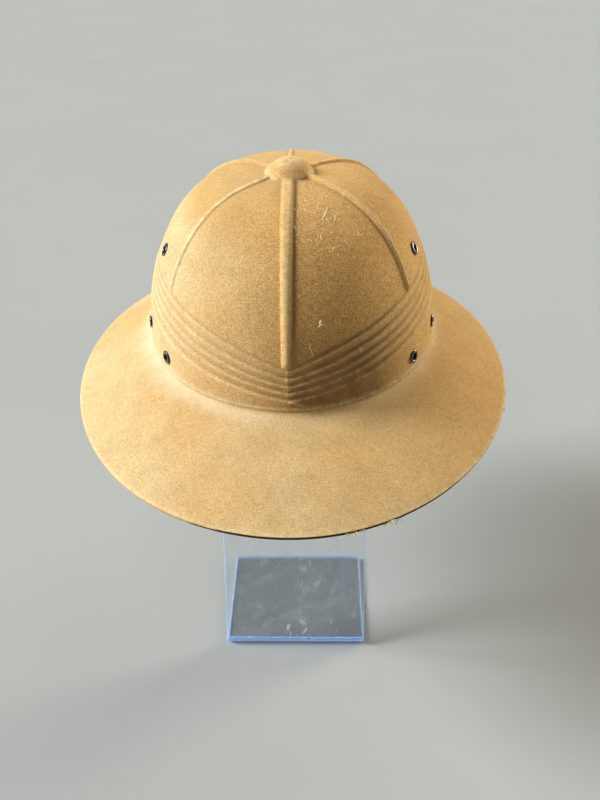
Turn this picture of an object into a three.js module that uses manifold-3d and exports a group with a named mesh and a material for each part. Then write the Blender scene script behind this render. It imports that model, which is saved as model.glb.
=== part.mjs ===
// Pith helmet on a clear acrylic display stand.
//
// Millimetres, +Z up, -Y is the front of the helmet, +X its left side as it is worn.
// The helmet is one moulded shell of cloth-faced pressed fibre: an oval crown with six
// ribs, a top button and a moulded pugaree (five lapped pleats a side that meet in a V),
// and a sloping brim. Six black eyelets are set through it. It hangs on the upright of a
// bent acrylic sheet, tipped a little forwards. The origin is on the floor, under the
// middle of the whole object.

import * as THREE from 'three';
import { mergeVertices } from 'three/addons/utils/BufferGeometryUtils.js';
import Module from 'manifold-3d';

const wasm = await Module();
wasm.setup();

// ---------------------------------------------------------------- driving dimensions

const WALL = 3.0;               // pressed fibre with its cloth facing
const GAP = 0.3;                // clearance between separate pieces

// Crown: an ellipse at the base that draws in to a rather flat top. Heights are from the
// fold where crown meets brim, and the helmet's own frame has its origin at that fold.
const CROWN = {
  halfLength: 107.5,
  halfWidth: 93.0,
  height: 103.6,
  centreY: 5.2,
  drawIn: 1.95,                 // exponent on height: how soon the wall leans in
  roundness: 3.2,               // exponent on radius: how flat the top stays
};

// Rim of the brim: a longer ellipse, dropped below the fold. The brim arches a little on
// its way out.
const RIM = {
  halfLength: 172.0,
  halfWidth: 142.5,
  centreY: -2.9,
  dropFront: 29.0,
  dropSide: 29.0,
  dropBack: 37.0,
  arch: 2.0,
};

// Base of the crown: a soft fold, a fine groove and a small welt, then the plain band.
const FOLD_FILL = 0.6;
const GROOVE = { height: 1.2, relief: 0.1 };
const WELT = { height: 3.0, relief: 0.8 };
const BAND = { height: 5.2, relief: 0.3 };

// Pleat edges: height at the front and back centre, height at the side, and how
// quickly the edge climbs towards the side (1 is a straight climb).
const PLEATS = [
  { centre: 8.5, side: 32.0, climb: 1.2 },
  { centre: 13.0, side: 39.0, climb: 1.35 },
  { centre: 17.5, side: 45.0, climb: 1.4 },
  { centre: 22.0, side: 49.5, climb: 1.6 },
  { centre: 27.0, side: 52.5, climb: 2.2 },
];
const PLEAT_EDGE = 0.8;         // how far a pleat's edge stands out
const PLEAT_TUCK = -0.2;        // how far the tuck above it goes in
const TUCK_AT = 0.35;           // where the tuck lies between one edge and the next
const PLEAT_MARGIN = 3.0;       // plain cloth reached this far above and below the pleats

// Ribs: azimuth from the front, half width at the button and at the pleats, and height.
const RIBS = [
  { azimuth: 0, halfTop: 4.5, halfFoot: 2.8, height: 2.4 },
  { azimuth: 56, halfTop: 3.0, halfFoot: 2.2, height: 2.0 },
  { azimuth: 125, halfTop: 3.0, halfFoot: 2.2, height: 2.0 },
  { azimuth: 180, halfTop: 3.0, halfFoot: 2.2, height: 2.0 },
  { azimuth: 235, halfTop: 3.0, halfFoot: 2.2, height: 2.0 },
  { azimuth: 304, halfTop: 3.0, halfFoot: 2.2, height: 2.0 },
];
const RIB_ACROSS = [-1, -0.5, 0, 0.5, 1];   // columns over a rib, in half widths
const RIB_BETWEEN = 8;                      // columns from one rib to the next
const RIB_FADE = 5.0;                       // length over which a rib sinks into the pleats

const BUTTON = { radius: 15.0, height: 8.4, dome: 2.3 };

// Rows of the mesh. Brim rows are fractions from the rim to the fold, crown rows are
// fractions of the climb from the top pleat to the button, button rows are fractions
// of its radius. Inner rows are heights on the crown, then fractions of its radius.
const ROWS = {
  brim: [1, 0.84, 0.6, 0.36, 0.16, 0.05],
  crown: [0.12, 0.25, 0.38, 0.5, 0.61, 0.71, 0.8, 0.89, 1],
  button: [0.97, 0.78, 0.5, 0.25],
  innerBrim: [1, 0.6, 0.25, 0],
  innerHeights: [0, 18, 34, 50, 65, 78, 88, 95],
  innerRadii: [0.5, 0.3, 0.12],
};

// Eyelets: azimuth from the front, height above the fold, and how far the wall stands
// out there. Each has a twin on the other side.
const EYELETS = [
  { place: 'upper', azimuth: 73, height: 65, wallRelief: 0 },
  { place: 'front', azimuth: 54, height: 10.5, wallRelief: 0.5 },
  { place: 'side', azimuth: 75, height: 15, wallRelief: 0.5 },
];
const EYELET = {
  flangeRadius: 4.5,
  flangeThick: 0.9,
  boreRadius: 2.4,
  barrelRadius: 3.0,
  clinchRadius: 4.1,
  clinchThick: 0.7,
  segments: 12,
};

// Stand: one acrylic sheet, bent at its front edge. The foot lies on the floor and the
// upright leans back over it.
const STAND = {
  width: 100.0,
  thickness: 3.0,
  footDepth: 95.0,
  lean: 11.6,                   // degrees back from upright
  bendRadius: 4.5,              // middle of the sheet
  bendSteps: 8,
  height: 327.0,
  footCorner: 5.0,
  topCorner: 14.0,
  cornerSteps: 5,
};

// How the helmet hangs on the stand.
const SEAT = {
  foldHeight: 230.7,            // fold's centre above the floor
  behindFront: 68.0,            // fold's centre behind the stand's front edge
  tipForward: 4.0,              // degrees, front down
};

// ------------------------------------------------------------------------- materials

const khakiCloth = new THREE.MeshStandardMaterial({
  name: 'khaki_cloth', color: 0xb98d4e, roughness: 0.92, metalness: 0,
});
const blackEnamel = new THREE.MeshStandardMaterial({
  name: 'black_enamel', color: 0x17181b, roughness: 0.32, metalness: 0.4,
});
const clearAcrylic = new THREE.MeshStandardMaterial({
  name: 'clear_acrylic', color: 0xdfeaf2, roughness: 0.06, metalness: 0,
  transparent: true, opacity: 0.35,
});

// ------------------------------------------------------------------ the shell's surface

const radians = THREE.MathUtils.degToRad;
const lerp = THREE.MathUtils.lerp;
const clamp = THREE.MathUtils.clamp;

/** Fraction of the crown's radius at a fraction of its height. */
function crownSpread(heightFraction) {
  return (1 - heightFraction ** CROWN.drawIn) ** (1 / CROWN.roundness);
}

/** Height on the crown at a fraction of its radius. */
function crownHeightAt(radiusFraction) {
  return CROWN.height * (1 - radiusFraction ** CROWN.roundness) ** (1 / CROWN.drawIn);
}

/** Point of the plain crown at an azimuth from the front, radius fraction and height. */
function crownPoint(azimuth, spread, height) {
  return new THREE.Vector3(
    CROWN.halfWidth * spread * Math.sin(azimuth),
    CROWN.centreY - CROWN.halfLength * spread * Math.cos(azimuth),
    height,
  );
}

/** Outward normal of the plain crown: the slope of radius^roundness + height^drawIn. */
function crownNormal(azimuth, spread, height) {
  const steepness = CROWN.roundness * spread ** (CROWN.roundness - 1);
  const rise = CROWN.drawIn * (height / CROWN.height) ** (CROWN.drawIn - 1);
  return new THREE.Vector3(
    (steepness * Math.sin(azimuth)) / CROWN.halfWidth,
    (-steepness * Math.cos(azimuth)) / CROWN.halfLength,
    rise / CROWN.height,
  ).normalize();
}

/** Point of the brim's upper face, from the fold (reach 0) to the rim (reach 1). */
function brimPoint(azimuth, reach) {
  const dropEnd = Math.cos(azimuth) > 0 ? RIM.dropFront : RIM.dropBack;
  const drop = lerp(RIM.dropSide, dropEnd, Math.cos(azimuth) ** 2);
  const rim = new THREE.Vector3(
    RIM.halfWidth * Math.sin(azimuth),
    RIM.centreY - RIM.halfLength * Math.cos(azimuth),
    -drop,
  );
  const point = crownPoint(azimuth, 1, 0).lerp(rim, reach);
  point.z += RIM.arch * 4 * reach * (1 - reach);
  return point;
}

/** Upward normal of the brim, from a small step along it and one across it. */
function brimNormal(azimuth, reach) {
  const step = 1e-3;
  const across = brimPoint(azimuth + step, reach).sub(brimPoint(azimuth - step, reach));
  const out = brimPoint(azimuth, reach + step).sub(brimPoint(azimuth, reach - step));
  return out.cross(across).normalize();
}

/** Height of a pleat's edge: it climbs from the front or back centre to the side. */
function pleatHeight(pleat, azimuth) {
  const fromCentre = Math.acos(Math.abs(Math.cos(azimuth))) / (Math.PI / 2);
  return lerp(pleat.centre, pleat.side, 1 - (1 - fromCentre) ** pleat.climb);
}

/** Azimuths of the mesh's columns at a radius: five over each rib, the rest between. */
function columnAzimuths(spread, alongRib) {
  const radius = Math.max(spread * CROWN.halfWidth, BUTTON.radius);
  const halfAngle = (rib) => lerp(rib.halfFoot, rib.halfTop, alongRib) / radius;
  return RIBS.flatMap((rib, index) => {
    const next = RIBS[(index + 1) % RIBS.length];
    const middle = radians(rib.azimuth);
    const turn = index === RIBS.length - 1 ? 2 * Math.PI : 0;
    const start = middle + halfAngle(rib);
    const end = radians(next.azimuth) + turn - halfAngle(next);
    const over = RIB_ACROSS.map((part) => middle + part * halfAngle(rib));
    const between = Array.from(
      { length: RIB_BETWEEN },
      (_, column) => lerp(start, end, (column + 1) / (RIB_BETWEEN + 1)),
    );
    return [...over, ...between];
  });
}

/** How far the rib stands out at each column, at full strength. */
const RIB_RELIEF = RIBS.flatMap((rib) => [
  ...RIB_ACROSS.map((part) => rib.height * Math.cos((part * Math.PI) / 2) ** 2),
  ...new Array(RIB_BETWEEN).fill(0),
]);

/** A crown point moved out along the crown's normal. */
function raisedCrownPoint(azimuth, height, relief) {
  const spread = crownSpread(height / CROWN.height);
  return crownPoint(azimuth, spread, height)
    .addScaledVector(crownNormal(azimuth, spread, height), relief);
}

/** A row below the ribs: the same height and relief rule at every column. */
function bandRow(heightAt, relief) {
  return columnAzimuths(1, 0).map(
    (azimuth) => raisedCrownPoint(azimuth, heightAt(azimuth), relief),
  );
}

/** A row of the ribbed crown, a fraction of the climb from the top pleat to the button. */
function ribbedRow(climb) {
  const topPleat = PLEATS[PLEATS.length - 1];
  const buttonFoot = crownHeightAt(BUTTON.radius / CROWN.halfWidth);
  const middle = lerp(topPleat.side, buttonFoot, climb) / CROWN.height;
  return columnAzimuths(crownSpread(middle), climb).map((azimuth, column) => {
    const start = pleatHeight(topPleat, azimuth) + PLEAT_MARGIN;
    const height = lerp(start, buttonFoot, Math.sin((climb * Math.PI) / 2));
    const strength = clamp((height - start) / RIB_FADE, 0, 1);
    return raisedCrownPoint(azimuth, height, strength * RIB_RELIEF[column]);
  });
}

/** A row of the button, which stands on the crown's top. */
function buttonRow(part) {
  const radius = part * BUTTON.radius;
  const rise = BUTTON.height * (1 - part ** BUTTON.dome);
  return columnAzimuths(0, 1).map((azimuth) => new THREE.Vector3(
    radius * Math.sin(azimuth),
    CROWN.centreY - radius * Math.cos(azimuth),
    crownHeightAt(radius / CROWN.halfWidth) + rise,
  ));
}

/** Rows of the outer face, from the rim up to the button, then its top point. */
function outerRows() {
  const pleatRows = PLEATS.flatMap((pleat, index) => {
    const edge = bandRow((azimuth) => pleatHeight(pleat, azimuth), PLEAT_EDGE);
    const above = PLEATS[index + 1];
    if (!above) return [edge];
    const tuckHeight = (azimuth) => lerp(
      pleatHeight(pleat, azimuth), pleatHeight(above, azimuth), TUCK_AT,
    );
    return [edge, bandRow(tuckHeight, PLEAT_TUCK)];
  });
  const brimRows = ROWS.brim.map((reach) => columnAzimuths(1, 0).map(
    (azimuth) => brimPoint(azimuth, reach),
  ));
  const foldRow = columnAzimuths(1, 0).map((azimuth) => brimPoint(azimuth, 0)
    .addScaledVector(brimNormal(azimuth, 0).add(crownNormal(azimuth, 1, 0)), FOLD_FILL / 2));
  const baseRows = [GROOVE, WELT, BAND].map(({ height, relief }) => bandRow(() => height, relief));
  const topPleat = PLEATS[PLEATS.length - 1];
  const shoulder = bandRow((azimuth) => pleatHeight(topPleat, azimuth) + PLEAT_MARGIN / 2, 0);
  return {
    rows: [
      ...brimRows, foldRow, ...baseRows, ...pleatRows, shoulder,
      ...ROWS.crown.map(ribbedRow), ...ROWS.button.map(buttonRow),
    ],
    pole: new THREE.Vector3(0, CROWN.centreY, CROWN.height + BUTTON.height),
  };
}

/** Rows of the inner face, from the rim up, one wall thickness inside the plain form. */
function innerRows() {
  const innerPoint = (azimuth, spread, height) => crownPoint(azimuth, spread, height)
    .addScaledVector(crownNormal(azimuth, spread, height), -WALL);
  const azimuths = columnAzimuths(1, 0);
  const brimRows = ROWS.innerBrim.map((reach) => azimuths.map((azimuth) => (
    brimPoint(azimuth, reach).addScaledVector(brimNormal(azimuth, reach), -WALL)
  )));
  const wallRows = ROWS.innerHeights.map((height) => azimuths.map((azimuth) => (
    innerPoint(azimuth, crownSpread(height / CROWN.height), height)
  )));
  const topRows = ROWS.innerRadii.map((spread) => azimuths.map((azimuth) => (
    innerPoint(azimuth, spread, crownHeightAt(spread))
  )));
  return {
    rows: [...brimRows, ...wallRows, ...topRows],
    pole: new THREE.Vector3(0, CROWN.centreY, CROWN.height - WALL),
  };
}

/** Closed mesh of two faces that share a rim: rows of rings, each closed by a pole. */
function shellGeometry(outer, inner) {
  const rings = [...[...inner.rows].reverse(), ...outer.rows];
  const columns = rings[0].length;
  const points = [inner.pole, ...rings.flat(), outer.pole];
  const last = points.length - 1;
  const at = (ring, column) => 1 + ring * columns + (column % columns);
  const indices = [];
  for (let column = 0; column < columns; column += 1) {
    indices.push(0, at(0, column + 1), at(0, column));
    for (let ring = 0; ring < rings.length - 1; ring += 1) {
      indices.push(at(ring, column), at(ring, column + 1), at(ring + 1, column));
      indices.push(at(ring, column + 1), at(ring + 1, column + 1), at(ring + 1, column));
    }
    indices.push(last, at(rings.length - 1, column), at(rings.length - 1, column + 1));
  }
  const geometry = new THREE.BufferGeometry().setFromPoints(points);
  geometry.setIndex(indices);
  return geometry;
}

// ---------------------------------------------------------------------- solid booleans

/** Manifold solid of a closed geometry, with its shared vertices merged. */
function solidOf(geometry) {
  const bare = geometry.clone();
  bare.deleteAttribute('normal');
  bare.deleteAttribute('uv');
  const merged = mergeVertices(bare, 1e-4);
  return new wasm.Manifold(new wasm.Mesh({
    numProp: 3,
    vertProperties: new Float32Array(merged.attributes.position.array),
    triVerts: new Uint32Array(merged.index.array),
  }));
}

/** Geometry of a Manifold solid. */
function geometryOf(solid) {
  const mesh = solid.getMesh();
  const geometry = new THREE.BufferGeometry();
  geometry.setAttribute('position', new THREE.BufferAttribute(mesh.vertProperties, 3));
  geometry.setIndex(new THREE.BufferAttribute(mesh.triVerts, 1));
  geometry.computeVertexNormals();
  return geometry;
}

// ---------------------------------------------------------------------------- eyelets

/** Where an eyelet sits and which way it faces: +Y of the lathe along the normal. */
function eyeletPose({ azimuth, height }, side) {
  const turn = radians(azimuth) * side;
  const spread = crownSpread(height / CROWN.height);
  const normal = crownNormal(turn, spread, height);
  return {
    centre: crownPoint(turn, spread, height),
    facing: new THREE.Quaternion().setFromUnitVectors(new THREE.Vector3(0, 1, 0), normal),
  };
}

/** Flanged tube: flange outside the wall, barrel through it, clinched flange inside. */
function eyeletGeometry(wallRelief) {
  const flangeFoot = wallRelief + 2 * GAP;
  const clinchFoot = -WALL - 3 * GAP;
  const profile = [
    [EYELET.boreRadius, clinchFoot - EYELET.clinchThick],
    [EYELET.clinchRadius, clinchFoot - EYELET.clinchThick / 2],
    [EYELET.clinchRadius, clinchFoot],
    [EYELET.barrelRadius, clinchFoot],
    [EYELET.barrelRadius, flangeFoot],
    [EYELET.flangeRadius, flangeFoot],
    [EYELET.flangeRadius, flangeFoot + EYELET.flangeThick / 2],
    [EYELET.boreRadius, flangeFoot + EYELET.flangeThick],
    [EYELET.boreRadius, clinchFoot - EYELET.clinchThick],
  ].map(([radius, along]) => new THREE.Vector2(radius, along));
  return new THREE.LatheGeometry(profile, EYELET.segments);
}

/** Hole through the wall for an eyelet's barrel. */
function eyeletHole(pose) {
  const radius = EYELET.barrelRadius + 1.2 * GAP;
  const drill = new THREE.CylinderGeometry(radius, radius, 6 * WALL, EYELET.segments);
  drill.applyQuaternion(pose.facing);
  drill.translate(pose.centre.x, pose.centre.y, pose.centre.z);
  return solidOf(drill);
}

// ------------------------------------------------------------------------------ stand

/** Side outline of the bent sheet, drawn in (y, z) with its front edge at y = 0. */
function standOutline() {
  const half = STAND.thickness / 2;
  const lean = radians(STAND.lean);
  const centre = STAND.bendRadius + half;
  const turn = Math.PI / 2 + lean;
  const arc = (radius) => Array.from({ length: STAND.bendSteps + 1 }, (_, step) => {
    const angle = -Math.PI / 2 - (turn * step) / STAND.bendSteps;
    return new THREE.Vector2(centre + radius * Math.cos(angle), centre + radius * Math.sin(angle));
  });
  const topOf = (foot) => new THREE.Vector2(
    foot.x + (STAND.height - foot.y) * Math.tan(lean), STAND.height,
  );
  const outerArc = arc(STAND.bendRadius + half);
  const innerArc = arc(STAND.bendRadius - half).reverse();
  return new THREE.Shape([
    new THREE.Vector2(STAND.footDepth, 0),
    ...outerArc,
    topOf(outerArc[STAND.bendSteps]),
    topOf(innerArc[0]),
    ...innerArc,
    new THREE.Vector2(STAND.footDepth, STAND.thickness),
  ]);
}

/** Outline as wide as the sheet, square where it starts and rounded at its far corners. */
function sheetEnd(length, corner) {
  const half = STAND.width / 2;
  const outline = new THREE.Shape();
  outline.moveTo(-half, 0);
  outline.lineTo(half, 0);
  outline.absarc(half - corner, length - corner, corner, 0, Math.PI / 2, false);
  outline.absarc(corner - half, length - corner, corner, Math.PI / 2, Math.PI, false);
  return outline;
}

/** Straight prism of an outline, laid along three chosen axes. */
function prism(outline, depth, alongX, alongY, alongZ) {
  const options = { depth, bevelEnabled: false, curveSegments: STAND.cornerSteps };
  const geometry = new THREE.ExtrudeGeometry(outline, options);
  geometry.translate(0, 0, -depth / 2);
  geometry.applyMatrix4(new THREE.Matrix4().makeBasis(alongX, alongY, alongZ));
  return solidOf(geometry);
}

/** The bent sheet, with the corners of its foot and its upright rounded off. */
function standGeometry() {
  const x = new THREE.Vector3(1, 0, 0);
  const y = new THREE.Vector3(0, 1, 0);
  const z = new THREE.Vector3(0, 0, 1);
  const reach = 3 * STAND.height;
  const bent = prism(standOutline(), STAND.width, y, z, x);
  const footPlan = prism(sheetEnd(STAND.footDepth, STAND.footCorner), reach, x, y, z);
  const frontView = prism(
    sheetEnd(STAND.height, STAND.topCorner), reach, x, z, y.clone().negate(),
  );
  return geometryOf(bent.intersect(footPlan).intersect(frontView));
}

// --------------------------------------------------------------------------- assembly

/** A named mesh. */
function piece(name, geometry, material) {
  const mesh = new THREE.Mesh(geometry, material);
  mesh.name = name;
  return mesh;
}

// The helmet is built in its own frame, with a hole and a tube for each eyelet, and then
// tipped and lifted on to the stand.
const helmet = new THREE.Group();
let shell = solidOf(shellGeometry(outerRows(), innerRows()));
for (const eyelet of EYELETS) {
  for (const [side, sideName] of [[1, 'left'], [-1, 'right']]) {
    const pose = eyeletPose(eyelet, side);
    shell = shell.subtract(eyeletHole(pose));
    const tube = piece(
      `eyelet_${eyelet.place}_${sideName}`, eyeletGeometry(eyelet.wallRelief), blackEnamel,
    );
    tube.position.copy(pose.centre);
    tube.quaternion.copy(pose.facing);
    helmet.add(tube);
  }
}
helmet.add(piece('helmet_shell', geometryOf(shell), khakiCloth));
helmet.rotation.x = radians(SEAT.tipForward);
helmet.position.set(0, SEAT.behindFront, SEAT.foldHeight);

const model = new THREE.Group();
model.add(helmet, piece('display_stand', standGeometry(), clearAcrylic));

// The origin goes to the floor under the middle of the whole object.
const extent = new THREE.Box3().setFromObject(model, true);
model.position.y = -(extent.min.y + extent.max.y) / 2;

export default model;
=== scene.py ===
"""Pith helmet on a clear acrylic display stand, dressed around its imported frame.

Everything is in metres, in the row frame: +Z up, -Y the helmet's front, +X its left side
as it is worn. The helmet is worked out in its own frame, whose origin is the middle of
the fold where crown meets brim, and the seat carries it on to the stand. An azimuth is
measured round the crown from the front, towards +X. An arc is a distance along the
helmet's surface from the fold: up the crown is positive, out along the brim negative.
"""

import logging
import math
from dataclasses import dataclass, field
from enum import Enum, IntEnum

import bpy
import numpy as np
from mathutils import Matrix, Vector


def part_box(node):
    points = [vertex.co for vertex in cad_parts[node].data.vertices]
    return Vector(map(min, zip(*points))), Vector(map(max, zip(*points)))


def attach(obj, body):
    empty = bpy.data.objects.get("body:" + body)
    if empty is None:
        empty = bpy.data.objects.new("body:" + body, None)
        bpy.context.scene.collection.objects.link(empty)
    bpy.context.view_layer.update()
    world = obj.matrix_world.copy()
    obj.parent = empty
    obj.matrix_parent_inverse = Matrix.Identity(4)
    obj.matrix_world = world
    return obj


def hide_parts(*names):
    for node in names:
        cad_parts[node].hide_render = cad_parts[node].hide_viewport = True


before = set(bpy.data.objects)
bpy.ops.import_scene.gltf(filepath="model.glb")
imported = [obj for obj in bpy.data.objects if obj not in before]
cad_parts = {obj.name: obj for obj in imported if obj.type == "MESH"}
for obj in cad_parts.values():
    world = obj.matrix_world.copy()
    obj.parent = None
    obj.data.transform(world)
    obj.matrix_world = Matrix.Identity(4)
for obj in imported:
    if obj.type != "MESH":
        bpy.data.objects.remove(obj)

log = logging.getLogger("pith_helmet")

Array = np.ndarray
Colour = tuple[float, float, float]
Rows = tuple[Array, Array, Array]
Socket = bpy.types.NodeSocket

MM = 0.001
FULL_TURN = 2.0 * math.pi


class Side(IntEnum):
    """Which side of the helmet a piece is on, as it is worn."""

    LEFT = 1
    RIGHT = -1


class Slot(Enum):
    """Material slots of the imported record."""

    CLOTH = "khaki_cloth"
    ENAMEL = "black_enamel"
    ACRYLIC = "clear_acrylic"


class ShellFinish(IntEnum):
    """Material index of each part of the shell's skin."""

    CLOTH = 0
    RIM = 1
    FIBRE = 2


class Seed(IntEnum):
    """Seeds of the shell's uneven places."""

    BRIM = 11
    RIM = 19
    WELT = 23
    PLEAT_EDGE = 31
    PLEAT_SWELL = 53
    WALL = 71
    PUCKER = 97


class StainAndShade(Enum):
    """Point attributes that carry rubbing, dirt, dustiness, fade and painted light and shade over
    the cloth, each from 0 to 1.
    """

    # Rubbed pale places, and painted highlight on the lit right side's pleat edges and on the
    # pleat that runs on past the V.
    WEAR_AND_HIGHLIGHT = "wear_and_highlight"
    # Dirt, and painted shade in hollows and on the front's left half.
    SOIL = "soil"
    # Dustiness, and painted highlight along the fold on the lit right side.
    DUST = "dust"
    THREADS = "threads"
    BARE = "bare"
    # Sun fade, and painted light: paler on the helmet's right side, which the key lamp lights.
    FADE = "fade"
    NAP = "nap"


# ---- small tools


def smooth(value: Array) -> Array:
    """Soft step: 3v^2 - 2v^3 of the value held between 0 and 1."""
    held = np.clip(value, 0.0, 1.0)
    return held * held * (3.0 - 2.0 * held)


def bell(value: Array) -> Array:
    """Bell curve, exp(-v^2)."""
    return np.exp(-value * value)


def ramp(value: Array, start: float, end: float) -> Array:
    """Soft step from 0 where the value is start to 1 where it is end, which may be lower."""
    return smooth((value - start) / (end - start))


def lerp(low: Array, high: Array, share: Array) -> Array:
    """Straight mix of two values."""
    return low + (high - low) * share


def unit(vectors: Array) -> Array:
    """Vectors scaled to length one along their last axis."""
    return vectors / np.linalg.norm(vectors, axis=-1, keepdims=True)


def turn_between(azimuth: Array, other: Array) -> Array:
    """Signed angle from one azimuth to another, between -pi and pi."""
    return (azimuth - other + math.pi) % FULL_TURN - math.pi


def ripple(seed: int, azimuth: Array, along: Array, waves: int, length: float) -> Array:
    """Soft unevenness about one unit high that closes on itself round the helmet.

    A sum of cosines: each has a whole number of waves round the azimuth and its own
    wavelength along the other direction.

    Args:
        seed: Picks the phases.
        azimuth: Angle round the helmet.
        along: Distance in the other direction.
        waves: Largest number of waves round.
        length: Shortest wavelength along.

    Returns:
        Heights with the shape of azimuth.
    """
    rng = np.random.default_rng(seed)
    total = np.zeros(np.broadcast(azimuth, along).shape)
    for count in range(1, waves + 1):
        phases = rng.uniform(0.0, FULL_TURN, 2)
        rate = FULL_TURN / (length * rng.uniform(1.0, 3.0))
        total = total + np.cos(count * azimuth + phases[0]) * np.cos(rate * along + phases[1])
    return total / math.sqrt(waves)


def ring_faces(rings: int, columns: int, first: int = 0) -> Array:
    """Quads of a grid of closed rings.

    Args:
        rings: Number of rings.
        columns: Points in each ring.
        first: Index of the grid's first point.

    Returns:
        Corner indices, one row for each quad.
    """
    ring, column = np.meshgrid(np.arange(rings - 1), np.arange(columns), indexing="ij")
    here = first + ring * columns + column
    beside = first + ring * columns + (column + 1) % columns
    return np.stack([here, beside, beside + columns, here + columns], -1).reshape(-1, 4)


def fan_faces(pole: int, first: int, columns: int) -> Array:
    """Triangles from a pole to a ring of points.

    Args:
        pole: Index of the pole.
        first: Index of the ring's first point.
        columns: Points in the ring.

    Returns:
        Corner indices, one row for each triangle.
    """
    column = np.arange(columns)
    after = first + (column + 1) % columns
    return np.stack([np.full(columns, pole), after, first + column], -1)


def enclosed_volume(points: Array, faces: list[Array]) -> float:
    """Signed volume inside closed faces: the sum of corner . (corner x corner) / 6.

    Args:
        points: Corner places.
        faces: Groups of faces with the same number of corners.

    Returns:
        The volume, negative where the faces point inwards.
    """
    total = 0.0
    for group in faces:
        origin = points[group[:, 0]]
        for corner in range(1, group.shape[1] - 1):
            second, third = points[group[:, corner]], points[group[:, corner + 1]]
            total += float(np.einsum("ij,ij->", origin, np.cross(second, third))) / 6.0
    return total


def build_piece(
    name: str,
    points: Array,
    faces: list[Array],
    finishes: list[bpy.types.Material],
    finish_of: list[Array] | None = None,
    uvs: list[Array] | None = None,
    stains: dict[StainAndShade, Array] | None = None,
) -> bpy.types.Object:
    """Puts a closed surface into the scene with its faces pointing outwards.

    Args:
        name: Piece name.
        points: Corner places in the row frame.
        faces: Groups of faces with the same number of corners.
        finishes: Materials, in the order of their indices.
        finish_of: Material index of each face, by group.
        uvs: Texture place of each face corner, by group.
        stains: Values of the attributes of rubbing, dirt, fade and painted light and shade at each
            point.

    Returns:
        The new object.
    """
    if enclosed_volume(points, faces) < 0.0:
        faces = [group[:, ::-1] for group in faces]
        uvs = None if uvs is None else [group[:, ::-1] for group in uvs]
    mesh = bpy.data.meshes.new(name)
    corners = np.concatenate([group.ravel() for group in faces])
    sizes = np.concatenate([np.full(len(group), group.shape[1]) for group in faces])
    mesh.vertices.add(len(points))
    mesh.vertices.foreach_set("co", points.astype(np.float32).ravel())
    mesh.loops.add(len(corners))
    mesh.loops.foreach_set("vertex_index", corners.astype(np.int32))
    mesh.polygons.add(len(sizes))
    starts = np.concatenate([[0], np.cumsum(sizes)[:-1]])
    mesh.polygons.foreach_set("loop_start", starts.astype(np.int32))
    for finish in finishes:
        mesh.materials.append(finish)
    if finish_of is not None:
        index = np.concatenate(finish_of).astype(np.int32)
        mesh.polygons.foreach_set("material_index", index)
    if uvs is not None:
        flat = np.concatenate([group.reshape(-1, 2) for group in uvs])
        layer = mesh.uv_layers.new(name="cloth_lay")
        layer.data.foreach_set("uv", flat.astype(np.float32).ravel())
    for stain, values in (stains or {}).items():
        attribute = mesh.attributes.new(stain.value, "FLOAT", "POINT")
        attribute.data.foreach_set("value", values.astype(np.float32))
    mesh.update(calc_edges=True)
    mesh.validate()
    mesh.shade_smooth()
    piece = bpy.data.objects.new(name, mesh)
    bpy.context.scene.collection.objects.link(piece)
    return piece


def put_on_frame(piece: bpy.types.Object, slot: Slot, *nodes: str) -> None:
    """Rides a piece on the one body and hides the CAD nodes it stands for.

    Args:
        piece: Finished piece.
        slot: Material slot it takes its finish from; not used.
        nodes: CAD nodes it replaces, if any.
    """
    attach(piece, "root")
    if nodes:
        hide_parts(*nodes)
    log.info("%s: %d faces", piece.name, len(piece.data.polygons))


# ---- finishes


# Sockets of a colour Mix node: its share and two colours, and its result.
MIX_INPUTS = (0, 6, 7)
MIX_RESULT = 2


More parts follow.
